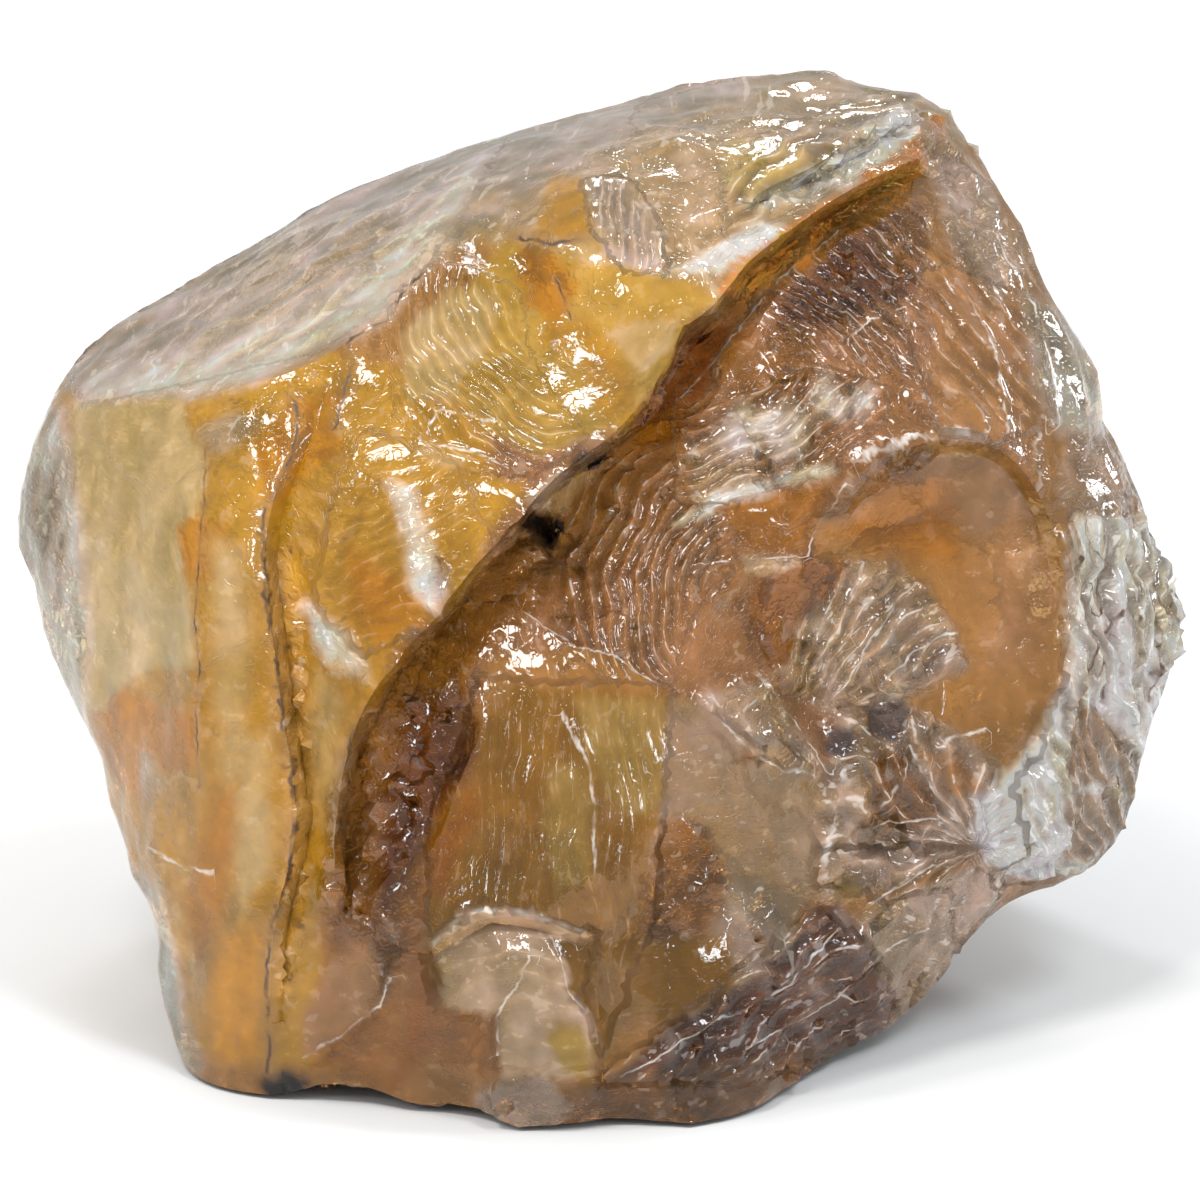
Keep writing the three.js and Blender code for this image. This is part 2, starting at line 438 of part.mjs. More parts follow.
// Splits every edge that is too long, again and again. An edge is split for both of its triangles at once.
function refine(surface) {
  const { points, isFront } = surface;
  const longest = (a, b) => (isFront[a] && isFront[b] ? FRONT_EDGE : BACK_EDGE);
  for (;;) {
    const halves = new Map();
    const halfOf = (a, b) => {
      const key = pairKey(a, b);
      if (halves.has(key)) return halves.get(key);
      let made = -1;
      if (points[a].distanceTo(points[b]) > longest(a, b)) {
        made = points.length;
        points.push(points[a].clone().lerp(points[b], 0.5));
        isFront.push(isFront[a] && isFront[b]);
        if (surface.ridges.delete(key)) surface.ridges.add(pairKey(a, made)).add(pairKey(made, b));
      }
      halves.set(key, made);
      return made;
    };
    const next = [];
    for (const [a, b, c] of surface.triangles) {
      next.push(...splitTriangle(a, b, c, halfOf(a, b), halfOf(b, c), halfOf(c, a)));
    }
    if (next.length === surface.triangles.length) return surface;
    surface.triangles = next;
  }
}

// The pieces of triangle abc once its edges have these middle points, or -1 for an edge that stays whole.
function splitTriangle(a, b, c, ab, bc, ca) {
  const cuts = [ab, bc, ca].filter((middle) => middle >= 0).length;
  if (cuts === 0) return [[a, b, c]];
  if (cuts === 3) return [[a, ab, ca], [ab, b, bc], [ca, bc, c], [ab, bc, ca]];
  if (cuts === 1) {
    if (ab >= 0) return [[a, ab, c], [ab, b, c]];
    if (bc >= 0) return splitTriangle(b, c, a, bc, -1, -1);
    return splitTriangle(c, a, b, ca, -1, -1);
  }
  if (ca < 0) return [[ab, b, bc], [a, ab, bc], [a, bc, c]];
  if (ab < 0) return splitTriangle(b, c, a, bc, ca, -1);
  return splitTriangle(c, a, b, ca, ab, -1);
}

// Eases the faces: a point that is on no ridge moves halfway to the middle of its neighbours, in each round.
function ease(surface) {
  const onRidge = new Set([...surface.ridges].flatMap((key) => key.split(",").map(Number)));
  const neighbours = surface.points.map(() => new Set());
  for (const [a, b, c] of surface.triangles) {
    neighbours[a].add(b).add(c);
    neighbours[b].add(c).add(a);
    neighbours[c].add(a).add(b);
  }
  for (let round = 0; round < SMOOTHING_ROUNDS; round++) {
    surface.points = surface.points.map((point, index) => {
      if (onRidge.has(index)) return point;
      const middle = new THREE.Vector3();
      for (const other of neighbours[index]) middle.add(surface.points[other]);
      return point.clone().lerp(middle.divideScalar(neighbours[index].size), 0.5);
    });
  }
  return surface;
}

// Solids

function solidOf(geometry) {
  const bare = geometry.clone();
  bare.deleteAttribute("normal");
  bare.deleteAttribute("uv");
  const merged = mergeVertices(bare, 1e-4);
  return new wasm.Manifold(
    new wasm.Mesh({
      numProp: 3,
      vertProperties: merged.attributes.position.array,
      triVerts: new Uint32Array(merged.index.array),
    }),
  );
}

function geometryOf(solid) {
  const mesh = solid.getMesh();
  return new THREE.BufferGeometry()
    .setAttribute("position", new THREE.BufferAttribute(mesh.vertProperties, 3))
    .setIndex(new THREE.BufferAttribute(mesh.triVerts, 1));
}

// A ball that bites into the rough stone from outside, on a line out of the stone's middle.
function makeBowl(rough, [bearing, climb, radius, depth]) {
  const polar = THREE.MathUtils.degToRad(90 - climb);
  const direction = new THREE.Vector3(Math.sin(polar), 0, Math.cos(polar));
  direction.applyAxisAngle(new THREE.Vector3(0, 0, 1), THREE.MathUtils.degToRad(bearing));
  const skin = new THREE.Mesh(rough, new THREE.MeshBasicMaterial({ side: THREE.DoubleSide }));
  const [hit] = new THREE.Raycaster(STONE_MIDDLE, direction).intersectObject(skin);
  const middle = STONE_MIDDLE.clone().addScaledVector(direction, hit.distance + radius - depth);
  const facets = Math.round(radius / BACK_EDGE);
  return new THREE.IcosahedronGeometry(radius, facets).translate(middle.x, middle.y, middle.z);
}

// Everything below the resting face, to be cut away.
function spaceBelowSeat() {
  const depth = 60;
  return new THREE.BoxGeometry(200, 200, depth).translate(0, 0, -depth / 2);
}

function makeStone() {
  const ring = densify(SILHOUETTE, true);
  const front = new Corners(ring);
  for (const lip of Object.values(STEPS)) {
    front.addRidge(lip);
    front.addRidge(footOf(lip));
  }
  for (const line of Object.values(RIDGES)) front.addRidge(line);
  for (const point of Object.values(FACE_POINTS).flat()) front.add(point);

  const back = new Corners(ring);
  for (const line of Object.values(BACK_RIDGES)) back.addRidge(line);
  for (const point of Object.values(BACK_POINTS).flat()) back.add(point);

  const surface = ease(refine(joinFrontAndBack(front, back)));
  const rough = new THREE.BufferGeometry()
    .setFromPoints(surface.points)
    .setIndex(surface.triangles.flat());
  let solid = solidOf(rough).subtract(solidOf(spaceBelowSeat()));
  for (const bowl of BOWLS) solid = solid.subtract(solidOf(makeBowl(rough, bowl)));
  return geometryOf(solid);
}

const goldenQuartz = new THREE.MeshStandardMaterial({ color: 0xb98a45, roughness: 0.25, metalness: 0 });

const stone = new THREE.Mesh(makeStone(), goldenQuartz);
stone.name = "quartz_chunk";

const goldenHealerQuartz = new THREE.Group();
goldenHealerQuartz.add(stone);

export default goldenHealerQuartz;
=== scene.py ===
"""A rough chunk of golden healer quartz on a pale studio floor.

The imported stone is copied, its facets are split and eased between their sharp edges, and a relief of ripples,
scallops and flakes is laid over it. Its finishes are patches of clear, golden, smoky and milky quartz.
"""

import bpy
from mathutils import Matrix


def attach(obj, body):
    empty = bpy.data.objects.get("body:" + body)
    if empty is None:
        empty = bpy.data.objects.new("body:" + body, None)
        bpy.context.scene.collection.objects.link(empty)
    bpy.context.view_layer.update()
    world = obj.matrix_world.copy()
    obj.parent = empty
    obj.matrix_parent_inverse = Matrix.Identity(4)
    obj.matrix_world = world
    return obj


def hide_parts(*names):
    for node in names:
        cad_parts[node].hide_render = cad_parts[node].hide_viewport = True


bl_info = {
    "name": "Golden Healer Quartz",
    "version": (1, 0, 0),
    "blender": (4, 5, 0),
    "location": "3D View > Sidebar > Quartz",
    "description": "Builds a rough chunk of golden healer quartz and a plain studio around it",
    "category": "Object",
}

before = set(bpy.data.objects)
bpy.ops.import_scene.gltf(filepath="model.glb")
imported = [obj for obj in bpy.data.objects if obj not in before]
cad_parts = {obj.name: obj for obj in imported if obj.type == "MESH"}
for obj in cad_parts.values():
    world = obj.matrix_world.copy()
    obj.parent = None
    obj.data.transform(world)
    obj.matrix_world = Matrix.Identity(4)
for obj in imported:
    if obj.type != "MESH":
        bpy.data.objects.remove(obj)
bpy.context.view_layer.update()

import math

import bmesh
import bpy
import numpy as np
from bpy.props import FloatProperty, FloatVectorProperty, IntProperty, PointerProperty
from mathutils import Vector, noise

NODE = "quartz_chunk"
MM = 0.001

# The eye that the stone is seen from, in millimetres: it looks down on the middle of the view.
EYE_TILT = math.radians(15)
EYE_DISTANCE = 450.0
VIEW_MIDDLE = np.array([-0.03, -1.28, 24.4])
ACROSS = np.array([1.0, 0.0, 0.0])
UP = np.array([0.0, math.sin(EYE_TILT), math.cos(EYE_TILT)])
TOWARDS = np.array([0.0, -math.cos(EYE_TILT), math.sin(EYE_TILT)])
VIEW_WIDTH = 1200 / 16.5
SENSOR_WIDTH = 36.0
LIGHT_TURNS = 6

# Quartz bends light this much. No colour of its skin is brighter than BRIGHTEST, or it would give out light.
QUARTZ_IOR = 1.544
BRIGHTEST = 0.95

# The studio's panels: bearing and climb in degrees from the front of the stone, distance and size in metres,
# share of the power, and colour.
WARM_WHITE = (1.0, 0.97, 0.93)
COOL_WHITE = (0.88, 0.94, 1.0)
PANELS = (
    (-30, 59, 0.80, (0.16, 0.17), 3.0, WARM_WHITE),
    (37, 57, 0.75, (0.08, 0.26), 2.2, COOL_WHITE),
    (-47, 31, 0.80, (0.07, 0.12), 0.9, COOL_WHITE),
    (-63, 50, 0.80, (0.07, 0.12), 0.9, WARM_WHITE),
    (82, 49, 0.80, (0.08, 0.14), 1.0, COOL_WHITE),
    (-150, 76, 0.75, (0.10, 0.14), 1.2, COOL_WHITE),
    (47, 20, 0.85, (0.05, 0.12), 0.6, COOL_WHITE),
    (176, 40, 0.85, (0.16, 0.12), 1.2, WARM_WHITE),
    (128, 14, 0.85, (0.08, 0.14), 0.9, COOL_WHITE),
)

# Edges that meet at a steeper angle than this stay sharp.
SHARP_ANGLE = math.radians(33)
SHADING_ANGLE = math.radians(38)
SEAT_HEIGHT = 0.02
SEAT_FADE = 1.2

# Rounds of splitting: the longest edge left in mm, how many times the skin is then eased, and by how much.
EASING_ROUNDS = ((1.3, 7, 0.5), (0.75, 4, 0.5))
FINAL_EASING = (3, 0.4)
MOST_PASSES = 9

# How the ripples swing: the shape of their crests, how far slow noise shifts them in ripples, how much painted
# shade darkens their troughs and painted highlight lightens their crests, how white the painted glints on the
# brightest crests are, and the most a fan's depth counts.
CREST_SHAPE = 0.8
RIPPLE_LAG = 3.2
RIPPLE_PAINTED_SHADE = 0.66
CREST_PAINTED_GLINT = 0.60
MOST_RIPPLED = 1.2

# Noise that bends the scallops and flakes, in mm, and the height of the finest relief, in metres.
BEND = 2.6
BUMP_HEIGHT = 0.00011

# Finishes of the stone: colour as it looks in soft white light, how clear it is, its roughness, how flaky its
# breaks are, how much milky veiling it has, and how many dark specks.
FINISHES = {
    "water_clear": ((228, 201, 174), 0.9, 0.04, 0.28, 0.3, 0.0),
    "white_flake": ((242, 232, 220), 0.66, 0.04, 0.75, 0.62, 0.0),
    "clear_grey": ((192, 168, 143), 0.76, 0.05, 0.2, 0.3, 0.1),
    "pale_cream": ((178, 150, 95), 0.48, 0.07, 0.08, 0.1, 0.25),
    "cream_glow": ((163, 135, 97), 0.6, 0.05, 0.35, 0.35, 0.1),
    "gold": ((168, 120, 20), 0.54, 0.05, 0.24, 0.12, 0.6),
    "deep_gold": ((178, 114, 0), 0.6, 0.05, 0.18, 0.02, 0.3),
    "yellow": ((172, 133, 43), 0.6, 0.04, 0.2, 0.08, 0.1),
    "pale_yellow": ((180, 148, 92), 0.52, 0.05, 0.16, 0.12, 0.0),
    "orange_brown": ((143, 87, 8), 0.58, 0.06, 0.28, 0.08, 0.5),
    "ochre": ((192, 128, 0), 0.58, 0.06, 0.22, 0.02, 0.3),
    "dirty_grey": ((182, 131, 46), 0.44, 0.12, 0.6, 0.35, 1.0),
    "olive": ((132, 89, 14), 0.66, 0.05, 0.16, 0.1, 0.0),
    "olive_glow": ((148, 116, 51), 0.62, 0.06, 0.12, 0.12, 0.0),
    "pink_grey": ((147, 119, 89), 0.64, 0.05, 0.18, 0.16, 0.2),
    "smoke": ((127, 81, 30), 0.74, 0.04, 0.55, 0.22, 0.2),
    "dark_smoke": ((86, 43, 8), 0.78, 0.04, 0.6, 0.15, 0.0),
    # Where black fills the hole and gap below the ledge, it is painted shade.
    "black": ((7, 4, 3), 0.30, 0.10, 0.40, 0.00, 0.0),
    "ripple_brown": ((143, 97, 57), 0.7, 0.03, 0.42, 0.18, 0.0),
    "deep_orange": ((127, 73, 8), 0.72, 0.04, 0.5, 0.08, 0.0),
    "honey": ((153, 105, 46), 0.64, 0.05, 0.16, 0.1, 0.1),
    "honey_orange": ((157, 95, 6), 0.64, 0.05, 0.14, 0.06, 0.1),
    "honey_rose": ((165, 115, 63), 0.66, 0.05, 0.2, 0.16, 0.1),
    "grey_glass": ((181, 152, 126), 0.76, 0.04, 0.7, 0.55, 0.0),
    "violet_grey": ((86, 73, 73), 0.66, 0.06, 0.35, 0.08, 0.0),
    "smoky_block": ((166, 130, 96), 0.74, 0.04, 0.35, 0.25, 0.1),
    "bright_glint": ((226, 208, 192), 0.6, 0.03, 1.0, 0.8, 0.0),
    "streaky_dark": ((102, 54, 17), 0.66, 0.04, 0.45, 0.38, 0.0),
    "dark_ochre": ((136, 78, 0), 0.64, 0.05, 0.28, 0.03, 0.4),
    "chip_glass": ((208, 171, 135), 0.66, 0.04, 0.24, 0.22, 0.0),
    "dark_red": ((110, 53, 18), 0.78, 0.03, 0.50, 0.08, 0.0),
    "satin_white": ((228, 207, 182), 0.72, 0.07, 0.15, 0.4, 0.0),
    "red_amber": ((240, 145, 55), 0.72, 0.03, 0.45, 0.05, 0.0),
}

# Patches of the front as the eye sees them, in mm across and up from the middle of the view. Later ones lie
# over earlier ones. Each has its finish, the softness of its edge in mm and its outline.
PATCHES = (
    ("gold", 1.7, ((-40, 16), (-20, 16), (-5, 12), (-6, 0), (-16, -19), (-14, -34), (-40, -34))),
    ("ripple_brown", 1.7, ((-6, 12), (18, 22), (26, 10), (26, -8), (8, -12), (-8, -3))),
    ("cream_glow", 1.7, ((-9, 24), (0, 32), (22, 34), (22, 28), (15.5, 25.2), (8, 20.3), (7, 17.6), (4, 17),
        (0, 20), (-6, 21))),
    ("clear_grey", 1.2, ((-33, 13.8), (-24.6, 20.5), (-16, 26), (-5, 29.5), (4, 32), (9, 33), (9, 30.5),
        (2, 28.5), (-4, 25), (-7.5, 22), (-10, 20.4), (-10.8, 20), (-12.6, 17.5), (-15.2, 15.7), (-17, 15),
        (-21, 13.1), (-26, 12.2), (-31, 12))),
    ("satin_white", 1.4, ((-31, 12), (-26, 12.2), (-21, 13.1), (-17, 15.3), (-12.8, 17), (-11, 20),
        (-8, 24.4), (-7, 27), (-11, 22.8), (-17, 18), (-24, 14.8), (-31, 13.6))),
    ("pale_cream", 0.6, ((-31.5, 12), (-25, 12), (-24.8, 10.2), (-24.2, 9.5), (-24.1, 7.5), (-24.6, 5.2),
        (-25.6, 4.2), (-25, 1.5), (-24.5, -1.5), (-24.2, -4), (-27, -4.2), (-28.8, -5.2), (-30.2, -7),
        (-32.5, -5), (-33, 6))),
    ("water_clear", 1.2, ((-40, 14), (-33.4, 13), (-32.4, 11), (-31.9, 8), (-31.6, 5), (-31.2, 2),
        (-31.0, 0), (-30.9, -4), (-30.9, -7), (-30.5, -10), (-33, -14), (-40, -8))),
    ("deep_gold", 0.7, ((-25.6, 4.2), (-24.6, 5.2), (-22.5, 4.6), (-22.6, 2.6), (-23.5, 1), (-25, 1.5))),
    ("deep_gold", 0.8, ((-20.8, 9), (-18.6, 12), (-15.5, 12.6), (-15.4, 9), (-17.2, 7.8), (-20, 5.4))),
    ("cream_glow", 0.8, ((-24.5, 10.4), (-22.2, 11.4), (-20.5, 10.6), (-22, 9.2), (-23.8, 9))),
    ("deep_gold", 0.3, ((-28.8, -5.3), (-26.5, -6.4), (-24.4, -6.8), (-24.2, -10), (-26.5, -10.5),
        (-27.5, -12), (-29.5, -11), (-30.6, -9), (-30.3, -7))),
    ("cream_glow", 0.8, ((-27.8, -9.2), (-26.7, -9.6), (-26.3, -11.4), (-27.1, -12.3), (-27.7, -10.8))),
    ("ochre", 1.7, ((-23, -20), (-20.2, -20), (-20.2, -28), (-23, -29), (-24.2, -25))),
    ("honey", 1.7, ((-26, -27), (-20, -28.5), (-14, -28), (-13, -33), (-26, -33))),
    ("water_clear", 1.0, ((-28.5, -15.5), (-27, -17), (-26, -21), (-25, -26), (-24, -28.6), (-30, -27),
        (-31, -17))),
    ("dirty_grey", 0.8, ((-20.3, 2.4), (-18.6, 3.6), (-17.8, 0), (-17.6, -4), (-17.2, -9), (-17, -14),
        (-17.6, -18), (-18.8, -24), (-20, -24), (-19.4, -18), (-18.7, -14), (-19.6, -5))),
    ("bright_glint", 1.2, ((-17.8, 0), (-14.8, -2.2), (-14.2, -4.6), (-16.6, -3.6))),
    ("pale_yellow", 1.8, ((-23.2, 4), (-21.4, 3), (-21.2, -6), (-22.2, -12), (-23.4, -6))),
    ("pale_yellow", 1.6, ((-21.8, -9), (-20, -8), (-19.8, -16), (-21.4, -19), (-22.6, -15))),
    ("deep_gold", 1.5, ((-23.4, -12), (-22, -11), (-22.4, -18), (-24.2, -22), (-25, -18))),
    ("pale_yellow", 1.4, ((-17.2, -4), (-15.8, -6), (-15.6, -12), (-16.6, -14), (-17.4, -9))),
    ("pale_yellow", 1.2, ((-13.2, 7.2), (-10.4, 9.4), (-8.2, 8.2), (-10.2, 5.6), (-12.2, 3.4))),
    ("deep_gold", 1.4, ((-15.2, 3), (-11.6, 1.2), (-10.4, -1), (-13.2, -3), (-14.8, -0.4))),
    ("gold", 1.0, ((-17, 12), (-12, 10), (-9, 7.8), (-4.4, 6.8), (-7, 3), (-9.6, 0.4), (-12.4, 4),
        (-15, 8))),
    ("orange_brown", 1.7, ((-15.5, -14), (-14.2, -17), (-12, -22), (-12.6, -30), (-17, -28), (-17, -20))),
    ("yellow", 0.8, ((-5.5, 22), (-2, 21.3), (0, 22), (1.5, 20.3), (5, 19.4), (7.6, 18.2), (5.5, 17),
        (4.4, 14.6), (1.8, 10.6), (-0.5, 9.8), (-4, 8.5), (-6, 10), (-9, 12), (-10, 15), (-8, 19))),
    ("pale_yellow", 1.0, ((-12, 16), (-9, 19), (-6, 18.5), (-7, 15), (-9, 12), (-11.5, 12))),
    ("gold", 0.7, ((-3.2, 17), (-1, 17), (0.5, 15.5), (2.3, 13), (1.9, 10.8), (0.2, 10.4), (-0.4, 13),
        (-1.8, 14.8), (-3.8, 15.4))),
    ("deep_gold", 0.7, ((-4.8, 21.6), (-2.8, 21), (-1.4, 19), (-2.6, 16.6), (-4.4, 17.8))),
    ("pale_yellow", 0.2, ((-2.2, 21.2), (-0.4, 21.9), (-0.2, 20.8), (1.2, 20.2), (-0.8, 20))),
    ("pale_yellow", 0.2, ((0.3, 16.2), (2.2, 16.9), (4.8, 17), (3.8, 14.8), (2.6, 13.8), (1.2, 15))),
    ("clear_grey", 0.7, ((-0.8, 25), (1.5, 25.3), (3, 23.5), (3.8, 20), (1.5, 20.2), (0.2, 21),
        (-0.3, 23))),
    ("gold", 0.8, ((-3, 26), (-1, 25.4), (-0.4, 22.2), (-4, 21.8))),
    ("pale_cream", 1.0, ((7.5, 27.6), (12, 27.8), (14, 26), (10, 23.8), (7.6, 25))),
    ("cream_glow", 1.4, ((10, 31.4), (20, 31), (19.5, 27.8), (12, 28))),
    ("white_flake", 0.8, ((9.5, 23.4), (13, 24.6), (16, 25.8), (19.6, 28.6), (18.4, 29.6), (13.5, 26.6),
        (8.8, 24))),
    ("white_flake", 0.8, ((7.3, 19.6), (8.2, 20.4), (11, 22.6), (9.4, 22.8), (5.6, 20.4), (4, 19.8))),
    ("red_amber", 0.3, ((8, 20.3), (15.5, 25.2), (20.6, 29), (21.4, 27), (17, 24.4), (12, 21.4), (8.8, 18),
        (7.6, 18.6))),
    ("dark_red", 0.7, ((7, 17), (8.8, 16), (6.4, 12.4), (3.4, 9.6), (1.8, 10.6), (3.2, 12.6), (4.6, 15.4))),
    ("red_amber", 0.7, ((9, 19.6), (12, 21.6), (14, 22.6), (12.6, 20.4), (10, 18.4))),
    ("dark_smoke", 1.5, ((10.4, 17.8), (15, 22), (19.6, 24), (18.6, 18.4), (13.6, 16.4), (10.6, 15.6))),
    ("smoke", 1.5, ((8, 14.6), (11, 16.4), (13.6, 16), (12, 12.6), (8, 12))),
    ("smoke", 1.0, ((16.6, 21.8), (19.4, 23.8), (20, 20.6), (17.6, 19.4))),
    ("ripple_brown", 1.4, ((13.6, 16), (20, 19), (24, 14), (22, 10.6), (16, 12))),
    ("honey_rose", 1.5, ((20.6, 19.8), (26.2, 19), (27, 12), (25.6, 9.6), (21, 10.4), (20, 14))),
    ("grey_glass", 1.2, ((18.6, 29.4), (23, 26), (25.6, 20), (24, 18), (21, 22), (20, 26))),
    # Painted shade: black in the hole and gap below the ledge.
    ("black", 0.2, ((-4.6, 5.4), (-2.1, 4.9), (-2.3, 3.5), (-3, 2.4), (-4, 3.3), (-4.9, 4.6))),
    ("black", 0.2, ((-1.8, 8.6), (0.4, 9.6), (-0.4, 8.4), (-1.6, 7.8))),
    ("clear_grey", 0.3, ((-2.8, 7.6), (-1, 8.1), (-0.4, 7.5), (-1.5, 6.6), (-2, 5.2), (-4.3, 5.7))),
    ("smoke", 0.8, ((-9.6, -0.4), (-4.4, 4), (-2.8, 2), (-4, -0.8), (-6.2, -1.4))),
    ("deep_orange", 0.8, ((2.6, 10.6), (5.6, 11.8), (4.8, 9.4), (1.6, 8.8))),
    ("grey_glass", 1.2, ((5.2, 9.2), (9.4, 9.6), (9.6, 7.4), (6, 5.4))),
    # Along the sill ridge this white flake is partly chipped quartz and partly painted highlight.
    ("white_flake", 0.7, ((4.5, 4.3), (6, 4.6), (7.5, 6.0), (10, 6.6), (11.5, 7.2), (14, 7.6), (14, 8.1),
        (11.3, 7.9), (9.6, 7.2), (7, 6.7), (5.8, 5.4))),
    ("orange_brown", 0.8, ((7, 5.6), (10, 6.4), (13.8, 7.2), (12.6, 3.2), (9, 3.2))),
    ("grey_glass", 0.3, ((8.6, 2.7), (12.3, 2.8), (9.6, 1.4), (8.8, 2))),
    ("honey", 0.3, ((13, 4.6), (14.6, 7.5), (16, 8.4), (18, 9.2), (20.5, 9.6), (23, 9.6), (25, 8.8),
        (26.5, 6), (28.2, 4.6), (28.8, 3), (28.7, 0.5), (28, -4), (27.5, -6.5), (25.5, -8.5), (23, -9.5),
        (18, -6), (13, 0))),
    ("smoke", 0.8, ((13, 4.8), (14.8, 7.8), (18, 9.2), (20.4, 9.3), (18.4, 7), (15.4, 5.2))),
    ("honey_orange", 2.0, ((14, 4), (17, 7), (21, 7.6), (22.4, 2), (20, 2.4), (17, 2.6))),
    ("honey_rose", 2.0, ((22.6, 7), (26, 6), (27.8, 1), (26.6, -4), (23, -4), (22.4, 1))),
    ("grey_glass", 1.2, ((14.8, 2.3), (18, 2), (19.8, 0.5), (22, -4), (19, -5.2), (16.5, -6.5), (14, -7),
        (11.5, -5.5), (10, -4.5), (12, -1.5))),
    ("deep_orange", 0.3, ((9, 1), (12.5, 2.9), (14.9, 2.2), (13.4, 0.3), (11.9, -1.6), (11.5, -3.5),
        (10.3, -4.6), (8.6, -1.5))),
    ("smoke", 1.2, ((-10, -0.6), (-6.2, -1), (-5.6, -2), (-6.6, -5), (-7.1, -7.8), (-7.6, -10), (-9.8, -14),
        (-10.2, -16), (-10.6, -19), (-11.5, -21.5), (-12.8, -24), (-16.4, -20), (-16.2, -12), (-14.8, -7.6),
        (-12.4, -3))),
    ("dark_smoke", 1.5, ((-11.6, -6), (-7.6, -5), (-7.8, -10), (-10.4, -14.6), (-13.4, -20), (-13, -12))),
    ("dark_ochre", 1.4, ((-11.5, -21.5), (-10.2, -16), (-9.6, -13.4), (-7.3, -10.6), (-9, -26),
        (-12.6, -30))),
    ("olive", 0.9, ((-6.8, -4), (-4, -4.2), (-1.5, -3.2), (0.5, -3.6), (2.5, -4.6), (4, -5.4), (4.2, -6),
        (4, -8), (3.6, -11), (3.2, -14), (2.6, -17), (2.2, -19.5), (1, -28), (-9, -27), (-10.8, -21),
        (-10.2, -17), (-9.5, -13.5), (-7.6, -10), (-6.8, -6.5))),
    ("honey", 1.0, ((-6.8, -3.4), (-1.5, -3), (2.2, -4.2), (3.8, -5.6), (-1, -5.4), (-6.6, -5))),
    ("olive_glow", 0.8, ((-1.8, -6), (4.1, -6), (3.7, -11), (2.8, -13), (1, -13), (-0.3, -10.6), (-1, -9))),
    ("olive_glow", 1.0, ((-3, -10), (-1.2, -10), (-0.4, -12), (-0.4, -17), (-2.6, -18), (-3.4, -13))),
    ("dark_ochre", 1.0, ((-10, -15), (-7.8, -11), (-7.2, -13), (-9.4, -18), (-10.4, -18))),
    ("pink_grey", 0.3, ((4.2, -5.8), (5.7, -6.2), (7.5, -7.6), (9.3, -9.4), (11, -10.5), (13.2, -10.8),
        (13.4, -12), (13, -15), (12.8, -18.5), (11.5, -20), (6, -21), (2.4, -20), (2.8, -16), (3.6, -11))),
    ("smoke", 1.0, ((3.3, -13.5), (5, -12.9), (6.5, -14), (7.5, -16), (7.3, -19), (5, -22), (2.2, -21),
        (2.6, -17))),
    ("orange_brown", 0.2, ((8.0, -9.2), (8.6, -9.1), (9.2, -9.6), (8.6, -9.8))),
    ("grey_glass", 0.8, ((6, -6.4), (9.6, -9.4), (11, -10.4), (13.6, -10.8), (11, -6.8), (9.6, -5),
        (6.4, -5.6))),
    ("olive", 1.0, ((1.8, -20.6), (8, -20.6), (8, -24), (4, -26.4), (1.2, -25.6))),
    ("grey_glass", 0.7, ((8, -17.5), (9.6, -17), (11.8, -20.2), (9, -23.6), (8.2, -23.4))),
    ("grey_glass", 1.0, ((13.4, -10.8), (14.4, -7), (18, -6), (23.6, -9.5), (23.6, -12), (22.4, -15),
        (18, -17.4), (13.4, -18.4), (13, -15))),
    ("violet_grey", 0.2, ((16, -6.6), (18.2, -5.6), (18.8, -6.6), (17.8, -8.7), (15.6, -8.2))),
    ("violet_grey", 0.3, ((13.6, -7.8), (15.4, -7.8), (14.8, -9.6), (13.8, -9.6))),
    ("smoke", 1.0, ((16.2, -9.4), (18.6, -9.2), (20.8, -12.8), (19, -14), (16, -13.6))),
    ("honey_rose", 0.7, ((19, -9), (22, -9.4), (23.4, -11.4), (21, -12))),
    ("white_flake", 0.8, ((28.8, 5.5), (28.5, 0), (28, -4.5), (27, -8), (25, -10), (22.5, -12),
        (22.3, -14.5), (24, -17), (30, -16), (40, -8), (40, 5), (33, 6))),
    ("smoky_block", 0.2, ((28, 10.2), (31, 10.2), (32.4, 7), (32.6, 5.2), (30, 5.0), (28.6, 5.2),
        (27.4, 6.8))),
    ("smoky_block", 0.3, ((29, -6.2), (30.2, -6.6), (31.4, -8.8), (32.6, -9.6), (32.2, -11.6), (28.4, -11),
        (28.6, -8.6))),
    ("smoky_block", 0.7, ((28.4, -11.6), (32.4, -11.8), (32, -15.4), (28, -15.6))),
    ("water_clear", 1.0, ((25.7, 18.5), (28.5, 17), (30.8, 12), (30.6, 9.8), (27.6, 10.2), (26, 13))),
    ("olive_glow", 1.0, ((13.8, -17), (15, -16.6), (15.6, -17.8), (14.4, -18.4))),
    ("grey_glass", 0.8, ((15.4, -19), (24, -15.6), (25, -17), (20, -24), (17, -26), (15.6, -23))),
    ("streaky_dark", 0.7, ((0.6, -29), (5, -25.5), (8, -23.5), (11, -21.2), (13, -18.8), (14.5, -18.6),
        (16.5, -21.5), (18, -24.8), (16.5, -26.8), (13, -27.2), (6.5, -28))),
    ("smoke", 0.7, ((-3, -31.6), (-2, -29.6), (2.5, -28.3), (10, -27.6), (16, -26.6), (18, -28), (10, -33),
        (0, -33))),
    ("chip_glass", 0.2, ((-10.2, -21), (-8.5, -19.3), (-7.3, -18.7), (-5, -18.7), (-3, -19.2),
        (-0.5, -20.4), (-3.0, -20.6), (-2, -22), (-1.8, -23.8), (-0.2, -25.5), (-0.6, -28.7), (-5.8, -29),
        (-6.2, -24.8), (-9.2, -24.8), (-9.6, -22.4))),
    ("yellow", 0.7, ((-2.6, -25.4), (-1, -25.6), (-0.5, -27), (-0.8, -29), (-2.2, -28.4), (-3.4, -26.6))),
    ("orange_brown", 0.8, ((-10.6, -24), (-8.6, -25), (-6.2, -25), (-6.0, -29), (-9.6, -28))),
